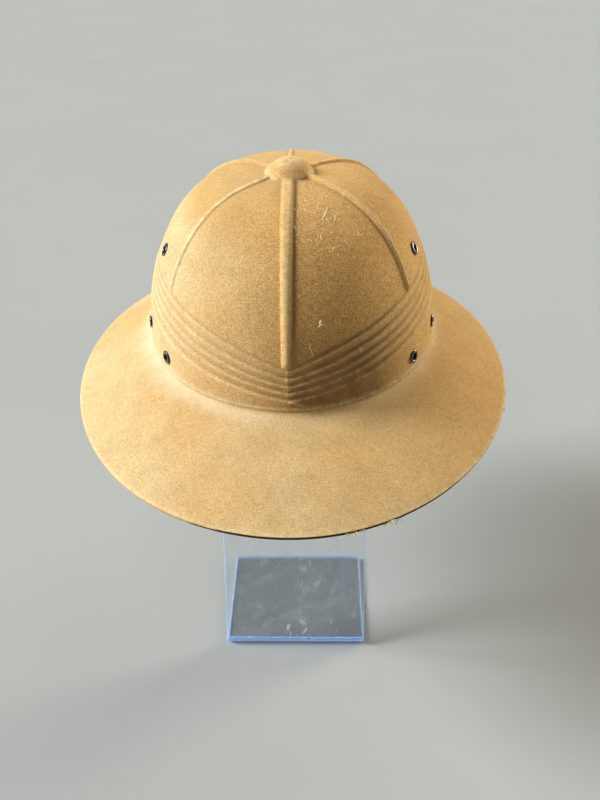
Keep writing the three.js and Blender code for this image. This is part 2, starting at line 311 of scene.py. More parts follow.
class NodeSheet:
    """One material's node tree, with a short call for each kind of step."""

    def __init__(self, name: str) -> None:
        """Starts a material that holds only its surface shader and output.

        Args:
            name: Material name.
        """
        self.material = bpy.data.materials.new(name)
        self.material.use_nodes = True
        self.tree = self.material.node_tree
        self.shader = next(n for n in self.tree.nodes if n.type == "BSDF_PRINCIPLED")
        self.place = self.tree.nodes.new("ShaderNodeTexCoord").outputs["Object"]

    def set_shader(self, **values: float | Colour) -> None:
        """Sets constant sockets of the shader, named with _ for a space."""
        for name, value in values.items():
            socket = self.shader.inputs[name.replace("_", " ")]
            socket.default_value = (*value, 1.0) if isinstance(value, tuple) else value

    def feed(self, socket: Socket, value: object) -> None:
        """Links a socket to an output, or sets it when the value is a constant."""
        if isinstance(value, Socket):
            self.tree.links.new(value, socket)
        else:
            socket.default_value = (*value, 1.0) if isinstance(value, tuple) else value

    def stretched(self, source: Socket, scale: Colour, turn: float = 0.0) -> Socket:
        """Coordinates scaled along each axis and turned about Z.

        Args:
            source: Coordinates to start from.
            scale: Factor along each axis.
            turn: Angle about Z in radians.

        Returns:
            The new coordinates' socket.
        """
        node = self.tree.nodes.new("ShaderNodeMapping")
        self.tree.links.new(source, node.inputs["Vector"])
        node.inputs["Scale"].default_value = scale
        node.inputs["Rotation"].default_value = (0.0, 0.0, turn)
        return node.outputs["Vector"]

    def noise(
        self,
        size: float,
        detail: float = 2.0,
        rough: float = 0.5,
        at: Socket | None = None,
    ) -> Socket:
        """Cloudy value about 0.5.

        Args:
            size: Width of the largest cloud, in metres (or in units of `at`).
            detail: How many finer layers are added.
            rough: Strength of the finer layers.
            at: Coordinates, if not the object's.

        Returns:
            The value's socket.
        """
        node = self.tree.nodes.new("ShaderNodeTexNoise")
        self.tree.links.new(at or self.place, node.inputs["Vector"])
        node.inputs["Scale"].default_value = 1.0 / size
        node.inputs["Detail"].default_value = detail
        node.inputs["Roughness"].default_value = rough
        return node.outputs["Fac"]

    def spread(
        self,
        value: Socket,
        low: float,
        high: float,
        to_low: float = 0.0,
        to_high: float = 1.0,
    ) -> Socket:
        """Maps the range low..high on to another, smoothly and held at its ends.

        Args:
            value: Value to map.
            low: Where the result leaves to_low.
            high: Where it reaches to_high.
            to_low: Result at low.
            to_high: Result at high.

        Returns:
            The mapped value's socket.
        """
        node = self.tree.nodes.new("ShaderNodeMapRange")
        node.interpolation_type = "SMOOTHSTEP"
        for name, number in zip(
            ("From Min", "From Max", "To Min", "To Max"), (low, high, to_low, to_high)
        ):
            node.inputs[name].default_value = number
        self.tree.links.new(value, node.inputs["Value"])
        return node.outputs["Result"]

    def sum(self, kind: str, first: object, second: object) -> Socket:
        """One arithmetic step.

        Args:
            kind: The step, such as MULTIPLY or ADD.
            first: Socket or number.
            second: Socket or number.

        Returns:
            The result's socket.
        """
        node = self.tree.nodes.new("ShaderNodeMath")
        node.operation = kind
        self.feed(node.inputs[0], first)
        self.feed(node.inputs[1], second)
        return node.outputs["Value"]

    def mix(self, share: object, first: object, second: object, kind: str = "MIX") -> Socket:
        """Mixes two colours by a share.

        Args:
            share: Weight of the second colour.
            first: Socket or colour.
            second: Socket or colour.
            kind: How they are blended.

        Returns:
            The mixed colour's socket.
        """
        node = self.tree.nodes.new("ShaderNodeMix")
        node.data_type = "RGBA"
        node.blend_type = kind
        for index, value in zip(MIX_INPUTS, (share, first, second)):
            self.feed(node.inputs[index], value)
        return node.outputs[MIX_RESULT]

    def stain(self, stain: StainAndShade) -> Socket:
        """Value of one of the cloth's attributes: rubbing, dirt, fade, painted light and shade and
        the like.
        """
        node = self.tree.nodes.new("ShaderNodeAttribute")
        node.attribute_name = stain.value
        return node.outputs["Fac"]

    def bump(self, height: Socket, depth: float, strength: float) -> None:
        """Raises the surface by a height map.

        Args:
            height: Heights from 0 to 1.
            depth: Depth of the whole range, in metres.
            strength: How strongly it shows.
        """
        node = self.tree.nodes.new("ShaderNodeBump")
        node.inputs["Distance"].default_value = depth
        node.inputs["Strength"].default_value = strength
        self.tree.links.new(height, node.inputs["Height"])
        self.tree.links.new(node.outputs["Normal"], self.shader.inputs["Normal"])


@dataclass(frozen=True)
class KhakiCloth:
    """Pressed cotton drill, paled by the sun and by painted light on its lit side, rubbed pale on
    its edges, and darker low on the front from dirt and painted shade.
    """

    warm: Colour = (0.660, 0.390, 0.138)
    straw: Colour = (0.730, 0.530, 0.290)
    shade: Colour = (0.65, 0.53, 0.39)
    light: Colour = (1.32, 1.33, 1.30)
    # Pale tint of rubbed places, also used for painted highlight.
    worn_and_lit: Colour = (0.880, 0.720, 0.430)
    # Dark brown tint of dirt, also used for painted shade.
    shade_and_dirt: Colour = (0.215, 0.112, 0.036)
    # Pale tint of dustiness, also used for painted highlight along the lit fold.
    dusty_and_lit: Colour = (0.830, 0.700, 0.480)
    fade_cloud: float = 70.0 * MM
    mottle_cloud: float = 16.0 * MM
    wear_cloud: float = 3.5 * MM
    grain: float = 0.76 * MM
    nap: float = 0.38
    thread: float = 0.55 * MM
    thread_run: float = 0.12
    thread_strength: float = 0.25
    flat_grain: float = 0.8
    raised_grain: float = 1.3
    bump_depth: float = 0.30 * MM

    def material(self) -> bpy.types.Material:
        """Layers fade and painted light, mottle, grain, dirt and painted shade, rubbed pale places
        and painted highlight, and dustiness over the cloth.

        Returns:
            The finished material.
        """
        sheet = NodeSheet("khaki_cloth_pressed")
        sheet.set_shader(Roughness=0.93, Sheen_Weight=0.06, Sheen_Roughness=0.6)
        sheet.set_shader(Specular_IOR_Level=0.18)
        fade = sheet.spread(sheet.noise(self.fade_cloud, 3.0, 0.55), 0.34, 0.60, 0.45, 1.0)
        mottle = sheet.noise(self.mottle_cloud, 4.0, 0.6)
        fine = self.fine_grain(sheet)
        # Paler straw colour by the fade share: partly sun fade, partly painted light on the lit
        # right side.
        fade_and_light_share = sheet.sum("MULTIPLY", sheet.stain(StainAndShade.FADE), fade)
        colour = sheet.mix(fade_and_light_share, self.warm, self.straw)
        tone = sheet.spread(mottle, 0.3, 0.7, 0.94, 1.05)
        colour = sheet.mix(1.0, colour, self.grey(sheet, tone), "MULTIPLY")
        tone = sheet.mix(sheet.spread(fine, 0.3, 0.7), self.shade, self.light)
        colour = sheet.mix(1.0, colour, tone, "MULTIPLY")
        # Dark tint: dirt, with painted shade. Pale rubbed tint: rubbing, with painted highlight.
        # Dusted tint: real dustiness, with painted highlight along the lit fold.
        patches = {
            StainAndShade.SOIL: sheet.spread(mottle, 0.2, 0.7, 0.55, 1.0),
            StainAndShade.WEAR_AND_HIGHLIGHT: sheet.spread(sheet.noise(self.wear_cloud, 3.0, 0.6), 0.30, 0.62),
            StainAndShade.DUST: sheet.spread(mottle, 0.25, 0.7, 0.45, 1.0),
        }
        tints = {StainAndShade.SOIL: self.shade_and_dirt, StainAndShade.WEAR_AND_HIGHLIGHT: self.worn_and_lit, StainAndShade.DUST: self.dusty_and_lit}
        for stain, patch in patches.items():
            share = sheet.sum("MULTIPLY", sheet.stain(stain), patch)
            colour = sheet.mix(share, colour, tints[stain])
        sheet.feed(sheet.shader.inputs["Base Color"], colour)
        sheet.bump(fine, self.bump_depth, 0.55)
        return sheet.material

    def fine_grain(self, sheet: NodeSheet) -> Socket:
        """Speckle of the nap with the threads of the weave over it, about 0.5.

        The weave is the sum of two noises drawn out along the warp and the weft. The
        whole is stronger where the nap is raised.

        Args:
            sheet: Material it is made in.

        Returns:
            The value's socket.
        """
        lay = sheet.tree.nodes.new("ShaderNodeUVMap")
        lay.uv_map = "cloth_lay"
        grain = sheet.noise(self.grain, 3.0, 0.65)
        nap = sheet.noise(self.grain * self.nap, 2.0, 0.6)
        along = sheet.stretched(lay.outputs["UV"], (1.0, self.thread_run, 1.0))
        across = sheet.stretched(lay.outputs["UV"], (self.thread_run, 1.0, 1.0))
        warp = sheet.noise(self.thread, 2.0, 0.6, along)
        weft = sheet.noise(self.thread, 2.0, 0.6, across)
        weave = sheet.sum("SUBTRACT", sheet.sum("ADD", warp, weft), 1.0)
        shown = sheet.sum("MULTIPLY", sheet.stain(StainAndShade.THREADS), self.thread_strength)
        weave = sheet.sum("MULTIPLY", weave, shown)
        speckle = sheet.sum("MULTIPLY", sheet.sum("ADD", grain, nap), 0.5)
        fine = sheet.sum("SUBTRACT", sheet.sum("ADD", speckle, weave), 0.5)
        raised = sheet.sum("MULTIPLY", sheet.stain(StainAndShade.NAP), self.raised_grain)
        rough = sheet.sum("ADD", raised, self.flat_grain)
        return sheet.sum("ADD", sheet.sum("MULTIPLY", fine, rough), 0.5)

    @staticmethod
    def grey(sheet: NodeSheet, value: Socket) -> Socket:
        """A grey of that value."""
        node = sheet.tree.nodes.new("ShaderNodeCombineColor")
        for channel in ("Red", "Green", "Blue"):
            sheet.tree.links.new(value, node.inputs[channel])
        return node.outputs["Color"]


@dataclass(frozen=True)
class RubbedFibre:
    """Bare pressed fibre: dark brown, mottled, with paler rubbed specks."""

    name: str
    dark: Colour
    light: Colour
    speck: float = 1.2 * MM
    cloud: float = 12.0 * MM
    rubbed: float = 0.5
    roughness: float = 0.85

    def material(self) -> bpy.types.Material:
        """Mixes two fibre colours by clouds and specks.

        Returns:
            The finished material.
        """
        sheet = NodeSheet(self.name)
        sheet.set_shader(Roughness=self.roughness, Specular_IOR_Level=0.25)
        cloud = sheet.noise(self.cloud, 3.0, 0.6)
        speck = sheet.noise(self.speck, 3.0, 0.7)
        clouds = sheet.sum("MULTIPLY", cloud, 0.4)
        both = sheet.sum("ADD", clouds, sheet.sum("MULTIPLY", speck, 0.6))
        share = sheet.spread(both, self.rubbed - 0.12, self.rubbed + 0.14)
        colour = sheet.mix(share, self.dark, self.light)
        sheet.feed(sheet.shader.inputs["Base Color"], colour)
        sheet.bump(speck, 0.25 * MM, 0.5)
        return sheet.material


@dataclass(frozen=True)
class RimEdge:
    """Cut edge of the brim: cloth pressed over it, rubbed through to the dark core."""

    cloth: Colour = (0.640, 0.400, 0.160)
    core: Colour = (0.050, 0.026, 0.012)
    speck: float = 1.6 * MM
    cloud: float = 9.0 * MM

    def material(self) -> bpy.types.Material:
        """Shows the core where the edge is bare, and in a few specks elsewhere.

        Returns:
            The finished material.
        """
        sheet = NodeSheet("rim_edge_rubbed")
        sheet.set_shader(Roughness=0.9, Specular_IOR_Level=0.2)
        speck = sheet.noise(self.speck, 3.0, 0.7)
        clouds = sheet.sum("MULTIPLY", sheet.noise(self.cloud, 2.0, 0.5), 0.5)
        ragged = sheet.sum("ADD", sheet.sum("MULTIPLY", speck, 0.5), clouds)
        bare = sheet.sum("ADD", sheet.stain(StainAndShade.BARE), sheet.sum("SUBTRACT", ragged, 0.62))
        colour = sheet.mix(sheet.spread(bare, 0.02, 0.22), self.cloth, self.core)
        sheet.feed(sheet.shader.inputs["Base Color"], colour)
        sheet.bump(speck, 0.3 * MM, 0.6)
        return sheet.material


@dataclass(frozen=True)
class BlackEnamel:
    """Baked black enamel over brass, glossy, with a few rubbed specks."""

    black: Colour = (0.012, 0.012, 0.014)
    rubbed: Colour = (0.16, 0.12, 0.07)
    speck: float = 0.9 * MM
    skin: float = 0.7 * MM

    def material(self) -> bpy.types.Material:
        """Black gloss with small rubbed specks and a faint orange-peel skin.

        Returns:
            The finished material.
        """
        sheet = NodeSheet("black_enamel_baked")
        sheet.set_shader(Coat_Weight=1.0, Coat_Roughness=0.06)
        speck = sheet.spread(sheet.noise(self.speck, 3.0, 0.7), 0.62, 0.74)
        colour = sheet.mix(speck, self.black, self.rubbed)
        sheet.feed(sheet.shader.inputs["Base Color"], colour)
        gloss = sheet.spread(sheet.noise(1.6 * MM, 2.0), 0.3, 0.7, 0.10, 0.22)
        sheet.feed(sheet.shader.inputs["Roughness"], gloss)
        sheet.bump(sheet.noise(self.skin, 1.0), 0.05 * MM, 0.3)
        return sheet.material


@dataclass(frozen=True)
class ClearAcrylic:
    """Clear cast acrylic: its faces are polished and finely scratched, its edges sawn."""

    tint: Colour = (0.93, 0.965, 1.0)
    scratched: Colour = (0.95, 0.97, 1.0)
    edge: Colour = (0.30, 0.50, 0.92)
    glint: Colour = (0.66, 0.84, 1.0)
    # Strength of the painted glow the sawn edges give off.
    edge_painted_glow: float = 0.34
    refraction: float = 1.49
    scuff_at: tuple[float, float] = (0.8 * MM, -52.0 * MM)
    scuff_radius: float = 7.0 * MM
    scuff_width: float = 0.7 * MM
    smear: float = 20.0 * MM
    speck: float = 1.5 * MM
    haze: float = 11.0 * MM
    hair: float = 0.9 * MM
    hair_run: float = 0.07
    hair_turns: tuple[float, float] = (0.6, -0.9)

    def faces(self) -> bpy.types.Material:
        """Clear sheet with hairlines, specks, haze, smears and a round scuff on its foot.

        Returns:
            The finished material.
        """
        sheet = NodeSheet("clear_acrylic_face")
        sheet.set_shader(IOR=self.refraction)
        smear = sheet.spread(sheet.noise(self.smear, 3.0, 0.6), 0.35, 0.75, 0.02, 0.10)
        marks = sheet.sum("MAXIMUM", self.scratches(sheet), self.scuff(sheet))
        specks = sheet.spread(sheet.noise(self.speck, 2.0, 0.6), 0.70, 0.76, 0.0, 0.8)
        haze = sheet.spread(sheet.noise(self.haze, 4.0, 0.65), 0.48, 0.78, 0.0, 0.16)
        marks = sheet.sum("MAXIMUM", marks, sheet.sum("MAXIMUM", specks, haze))
        colour = sheet.mix(marks, self.tint, self.scratched)
        sheet.feed(sheet.shader.inputs["Base Color"], colour)
        clear = sheet.sum("SUBTRACT", 1.0, sheet.sum("MULTIPLY", marks, 0.75))
        sheet.feed(sheet.shader.inputs["Transmission Weight"], clear)
        gloss = sheet.sum("ADD", smear, sheet.sum("MULTIPLY", marks, 0.4))
        sheet.feed(sheet.shader.inputs["Roughness"], gloss)
        return sheet.material

    def scratches(self, sheet: NodeSheet) -> Socket:
        """Fine hairlines in two directions, kept to a few patches.

        Args:
            sheet: Material they are made in.

        Returns:
            Their strength's socket.
        """
        lines = []
        for turn in self.hair_turns:
            drawn = sheet.stretched(sheet.place, (1.0, self.hair_run, 1.0), turn)
            lines.append(sheet.spread(sheet.noise(self.hair, 1.0, 0.5, drawn), 0.70, 0.76))
        patch = sheet.spread(sheet.noise(0.018, 2.0, 0.6), 0.50, 0.66)
        return sheet.sum("MULTIPLY", sheet.sum("MAXIMUM", *lines), patch)

    def scuff(self, sheet: NodeSheet) -> Socket:
        """Broken ring rubbed into the foot: a band of distances from its centre.

        Args:
            sheet: Material it is made in.

        Returns:
            Its strength's socket.
        """
        offset = sheet.tree.nodes.new("ShaderNodeVectorMath")
        offset.operation = "DISTANCE"
        sheet.tree.links.new(sheet.place, offset.inputs[0])
        offset.inputs[1].default_value = (*self.scuff_at, 0.003)
        away = sheet.sum("SUBTRACT", offset.outputs["Value"], self.scuff_radius)
        away = sheet.sum("ABSOLUTE", away, 0.0)
        ring = sheet.spread(away, 0.0, self.scuff_width, 1.0, 0.0)
        broken = sheet.spread(sheet.noise(0.006, 2.0), 0.40, 0.55)
        return sheet.sum("MULTIPLY", ring, broken)

    def edges(self) -> bpy.types.Material:
        """Sawn and flame-polished edge, where light gathers pale blue: a painted glow given off as
        emission.

        Returns:
            The finished material.
        """
        sheet = NodeSheet("clear_acrylic_edge")
        sheet.set_shader(Transmission_Weight=0.25, IOR=self.refraction, Roughness=0.22)
        # Painted glow: the edge emits its pale blue, standing in for light piped through the
        # sheet; the glint streaks are painted highlight.
        sheet.set_shader(Emission_Color=self.edge, Emission_Strength=self.edge_painted_glow)
        saw = sheet.noise(0.9 * MM, 2.0, 0.6, sheet.stretched(sheet.place, (1.0, 1.0, 0.1)))
        colour = sheet.mix(sheet.spread(saw, 0.45, 0.75), self.edge, self.glint)
        sheet.feed(sheet.shader.inputs["Base Color"], colour)
        sheet.bump(saw, 0.05 * MM, 0.3)
        return sheet.material


# ---- helmet's form


@dataclass(frozen=True)
class Seat:
    """How the helmet sits on the stand: over its front edge, tipped a little forwards."""

    fold_height: float = 230.7 * MM
    behind_front: float = 68.0 * MM
    tip_forward: float = 4.0

    def origin(self) -> Array:
        """Fold's centre in the row frame."""
        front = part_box("display_stand")[0].y
        return np.array([0.0, front + self.behind_front, self.fold_height])

    def turned(self, vectors: Array) -> Array:
        """Directions of the helmet's frame in the row frame: a turn about X."""
        tip = math.radians(self.tip_forward)
        cos, sin = math.cos(tip), math.sin(tip)
        turn = np.array([[1.0, 0.0, 0.0], [0.0, cos, -sin], [0.0, sin, cos]])
        return vectors @ turn.T

    def placed(self, points: Array) -> Array:
        """Points of the helmet's frame in the row frame."""
        return self.turned(points) + self.origin()


@dataclass(frozen=True)
class Crown:
    """Plain crown: spread^roundness + (rise / height)^draw_in = 1."""

    half_length: float = 107.5 * MM
    half_width: float = 93.0 * MM
    height: float = 103.6 * MM
    centre_y: float = 5.2 * MM
    draw_in: float = 1.95
    roundness: float = 3.2
    wall: float = 3.0 * MM
    round_top: float = 15.0 * MM
    samples: int = 6000

    def meridian(self) -> tuple[Array, Array, Array]:
        """Side profile from the fold to the top.

        The profile is sampled by an angle t with spread = cos(t)^(2/roundness) and
        rise = height sin(t)^(2/draw_in); its arc is the running length at the mean
        half width.

        Returns:
            Arc, spread and rise of each sample.
        """
        angle = np.linspace(0.0, math.pi / 2.0, self.samples)
        spread = np.abs(np.cos(angle)) ** (2.0 / self.roundness)
        spread[-1] = 0.0
        rise = self.height * np.sin(angle) ** (2.0 / self.draw_in)
        mean = (self.half_length + self.half_width) / 2.0
        steps = np.hypot(np.diff(spread) * mean, np.diff(rise))
        return np.concatenate([[0.0], np.cumsum(steps)]), spread, rise

    def spread_at(self, arc: Array) -> Array:
        """Fraction of the base radius at an arc."""
        arcs, spread, _ = self.meridian()
        return np.interp(arc, arcs, spread)

    def rise_at(self, arc: Array) -> Array:
        """Height above the fold at an arc."""
        arcs, _, rise = self.meridian()
        return np.interp(arc, arcs, rise)

    def arc_at(self, rise: Array) -> Array:
        """Arc at a height above the fold."""
        arcs, _, rises = self.meridian()
        return np.interp(rise, rises, arcs)

    def arc_of_radius(self, radius: Array) -> Array:
        """Arc at a half width."""
        arcs, spread, _ = self.meridian()
        return np.interp(-radius / self.half_width, -spread, arcs)

    def point(self, azimuth: Array, arc: Array) -> Array:
        """Point of the plain crown.

        An oval of the spread's size at that height. Close to the top the oval turns into
        a circle, so that the round button sits on it evenly.

        Args:
            azimuth: Angles round the crown.
            arc: Arcs up it.

        Returns:
            Places in the helmet's frame.
        """
        spread = self.spread_at(arc)
        circle = ramp(spread * self.half_width, 1.5 * self.round_top, self.round_top)
        length = lerp(self.half_length, self.half_width, circle)
        return np.stack(
            [
                self.half_width * spread * np.sin(azimuth),
                self.centre_y - length * spread * np.cos(azimuth),
                self.rise_at(arc) + np.zeros_like(azimuth),
            ],
            -1,
        )

    def turn_radius(self, azimuth: Array, spread: Array) -> Array:
        """Length of arc round the crown for one radian of azimuth."""
        oval = np.hypot(self.half_width * np.cos(azimuth), self.half_length * np.sin(azimuth))
        return np.maximum(spread * oval, self.round_top)

    def normal(self, azimuth: Array, arc: Array) -> Array:
        """Outward direction of the plain crown, the slope of its equation.

        Args:
            azimuth: Angles round the crown.
            arc: Arcs up it.

        Returns:
            Unit directions in the helmet's frame.
        """
        spread, share = self.spread_at(arc), self.rise_at(arc) / self.height
        steep = self.roundness * spread ** (self.roundness - 1.0)
        lift = self.draw_in * share ** (self.draw_in - 1.0)
        return unit(
            np.stack(
                [
                    steep * np.sin(azimuth) / self.half_width,
                    -steep * np.cos(azimuth) / self.half_length,
                    lift / self.height + np.zeros_like(azimuth),
                ],
                -1,
            )
        )


@dataclass(frozen=True)
class Brim:
    """Brim: straight from the fold to a lower, longer oval rim, arched a little between."""

    crown: Crown
    half_length: float = 172.0 * MM
    half_width: float = 142.5 * MM
    centre_y: float = -2.9 * MM
    drop_front: float = 29.0 * MM
    drop_side: float = 29.0 * MM
    drop_back: float = 37.0 * MM
    arch: float = 2.0 * MM
    sway: float = 0.45 * MM
    edge_round: float = 0.8 * MM
    step: float = 1e-3

    def point(self, azimuth: Array, reach: Array) -> Array:
        """Point of the upper face.

        A straight mix of the fold and the rim, raised by arch x 4 reach (1 - reach) and
        a little sway.

        Args:
            azimuth: Angles round the helmet.
            reach: Shares of the way out, 0 at the fold and 1 at the rim.

        Returns:
            Places in the helmet's frame.
        """
        drop_end = np.where(np.cos(azimuth) > 0.0, self.drop_front, self.drop_back)
        drop = lerp(self.drop_side, drop_end, np.cos(azimuth) ** 2)
        fold = self.crown.point(azimuth, np.zeros_like(azimuth))
        rim = np.stack(
            [
                self.half_width * np.sin(azimuth),
                self.centre_y - self.half_length * np.cos(azimuth),
                -drop,
            ],
            -1,
        )
        share = (reach + np.zeros_like(azimuth))[..., None]
        place = lerp(fold, rim, share)
        uneven = self.sway * reach**1.5 * ripple(Seed.BRIM, azimuth, 0.0 * azimuth, 7, 1.0)
        place[..., 2] += self.arch * 4.0 * reach * (1.0 - reach) + uneven
        return place

    def length(self, azimuth: Array) -> Array:
        """Distance from the fold to the rim."""
        ends = [self.point(azimuth, np.full_like(azimuth, reach)) for reach in (0.0, 1.0)]
        return np.linalg.norm(ends[1] - ends[0], axis=-1)

    def outward(self, azimuth: Array, reach: Array) -> Array:
        """Direction along the brim towards its rim."""
        ahead, behind = reach + self.step, reach - self.step
        return unit(self.point(azimuth, ahead) - self.point(azimuth, behind))

    def normal(self, azimuth: Array, reach: Array) -> Array:
        """Upward direction, square to a step outwards and a step round."""
        ahead, behind = azimuth + self.step, azimuth - self.step
        around = self.point(ahead, reach) - self.point(behind, reach)
        return unit(np.cross(self.outward(azimuth, reach), around))


@dataclass(frozen=True)
class Pleats:
    """Moulded pugaree: five lapped pleats that climb from a V to each side."""

    crown: Crown
    centre: tuple[float, ...] = (8.5 * MM, 13.0 * MM, 17.5 * MM, 22.0 * MM, 27.0 * MM)
    side: tuple[float, ...] = (32.0 * MM, 39.0 * MM, 45.0 * MM, 49.5 * MM, 52.5 * MM)
    climb: tuple[float, ...] = (1.2, 1.35, 1.4, 1.6, 2.2)
    edge: float = 0.66 * MM
    tuck: float = -0.34 * MM
    side_fade: float = 0.35
    strength: tuple[float, ...] = (1.05, 1.05, 1.0, 0.9, 0.75)
    tuck_at: float = 0.34
    band: float = 0.3 * MM
    band_reach: float = 7.0 * MM
    shoulder: float = 2.4 * MM
    soft_v: float = 0.012
    uneven: float = 0.28 * MM
    swell_uneven: float = 0.16
    fall_curve: float = 1.9
    swell_curve: float = 1.25
    side_turn: tuple[float, float] = (0.7, 1.5)
    crease_depth: float = 0.15 * MM
    last_tuck: float = 1.8 * MM
    edge_width: float = 0.75 * MM
    tuck_width: float = 0.9 * MM
    tail_slope: float = 0.34
    tail_start: float = 1.5 * MM
    tail_end: tuple[float, float] = (18.0 * MM, 11.0 * MM)
    tail_width: float = 0.85 * MM
    tail_height: float = 1.2 * MM
    # Painted highlight: the pleat that runs on past the V is paled along its ridge, where light
    # catches its upper side.
    tail_highlight: float = 1.4
    seam_foot: tuple[float, float] = (8.0 * MM, 11.0 * MM)
    seam_top: tuple[float, float] = (30.0 * MM, 27.0 * MM)
    seam_width: float = 0.9 * MM
    seam_height: float = 0.38 * MM
    back_seam: float = 0.6
    pucker: float = 0.16 * MM
    pucker_reach: float = 0.11

    def edge_height(self, index: int, azimuth: Array) -> Array:
        """Height of one pleat's edge.

        It climbs from the centre height to the side height by 1 - (1 - x)^climb, where
        x goes from 0 at the V to 1 at the side, and wanders a little.

        Args:
            index: Which pleat, from the lowest.
            azimuth: Angles round the crown.

        Returns:
            Heights above the fold.
        """
        turn = np.arccos(np.clip(np.abs(np.cos(azimuth)), 0.0, 1.0)) / (math.pi / 2.0)
        turn = np.clip(np.hypot(turn, self.soft_v) - self.soft_v, 0.0, 1.0)
        share = 1.0 - (1.0 - turn) ** self.climb[index]
        wander = self.uneven * ripple(Seed.PLEAT_EDGE + index, azimuth, 0.0 * azimuth, 14, 1.0)
        return lerp(self.centre[index], self.side[index], share) + wander * smooth(turn * 6.0)

    def relief(self, azimuth: Array, rise: Array) -> tuple[Array, Array, Array]:
        """How far the pleats stand out from the plain crown.

        Each pleat swells outwards up to its edge, then falls sharply into the tuck of
        the next one above.

        Args:
            azimuth: Angles round the crown.
            rise: Heights above the fold.

        Returns:
            Relief, closeness to an edge and closeness to a tuck, each from 0 to 1.
        """
        edges = [self.edge_height(index, azimuth) for index in range(len(self.centre))]
        level = sum(
            np.clip((rise - low) / (high - low), 0.0, 1.0) for low, high in zip(edges, edges[1:])
        )
        lap = level - np.floor(np.clip(level, 0.0, len(edges) - 1.001))
        index = np.floor(level + 0.5)
        strength = np.interp(level, np.arange(len(edges)), self.strength)
        turned = np.arccos(np.clip(np.abs(np.cos(azimuth)), 0.0, 1.0))
        strength = strength * (1.0 - self.side_fade * ramp(turned, *self.side_turn))
        uneven = 1.0 + self.swell_uneven * ripple(Seed.PLEAT_SWELL, azimuth, index * 0.4, 9, 1.0)
        proud = self.edge * strength * uneven
        fall = 1.0 - (1.0 - np.clip(lap / self.tuck_at, 0.0, 1.0)) ** self.fall_curve
        swell = (lap - self.tuck_at) / (1.0 - self.tuck_at)
        swell = np.clip(swell, 0.0, 1.0) ** self.swell_curve
        lapped = proud - (proud - self.tuck) * (fall - swell)
        below = smooth(1.0 - (edges[0] - rise) / self.band_reach)
        above = np.clip((rise - edges[-1]) / self.shoulder, 0.0, 1.0)
        relief = np.where(rise < edges[0], lerp(self.band, proud, below), lapped)
        top = proud * (1.0 - above) ** self.fall_curve
        top = top - self.crease_depth * bell((above - 0.8) / 0.3)
        relief = np.where(rise > edges[-1], top, relief)
        under = rise + self.crease_depth
        near_edge = sum(bell((under - edge) / self.edge_width) for edge in edges)
        tucks = [lerp(low, high, self.tuck_at) for low, high in zip(edges, edges[1:])]
        tucks.append(edges[-1] + self.last_tuck)
        near_tuck = sum(bell((rise - tuck) / self.tuck_width) for tuck in tucks)
        crossing, tail = self.crossing(azimuth, rise)
        # Painted highlight along the ridge of the pleat that runs on, carried with the pale pleat
        # edges.
        near_edge = np.clip(near_edge, 0.0, 1.0) + self.tail_highlight * tail
        return relief + crossing, near_edge, np.clip(near_tuck, 0.0, 1.0)

    def crossing(self, azimuth: Array, rise: Array) -> tuple[Array, Array]:
        """Extra relief at each V, where the two sides' pleats are folded together.

        The lowest pleat of the helmet's right side runs on past the front V and dies
        out, and a fine upright ridge joins the points of the five pleats.

        Args:
            azimuth: Angles round the crown.
            rise: Heights above the fold.

        Returns:
            Relief and closeness to the pleat that runs on.
        """
        front = turn_between(azimuth, 0.0) * self.crown.half_width
        back = turn_between(azimuth, math.pi) * self.crown.half_width
        line = self.centre[0] - self.tail_slope * front
        tail = ramp(front, 0.0, self.tail_start) * ramp(front, *self.tail_end)
        tail = tail * bell((rise - line) / self.tail_width)
        upright = ramp(rise, *self.seam_foot) * ramp(rise, *self.seam_top)
        seam = bell(front / self.seam_width) + self.back_seam * bell(back / self.seam_width)
        reach = self.pucker_reach * self.crown.half_length
        pucker = (bell(front / reach) + bell(back / reach)) * self.pucker
        pucker = pucker * ripple(Seed.PUCKER, azimuth * 9.0, rise, 5, 3.0 * MM)
        return self.tail_height * tail + upright * (self.seam_height * seam + pucker), tail


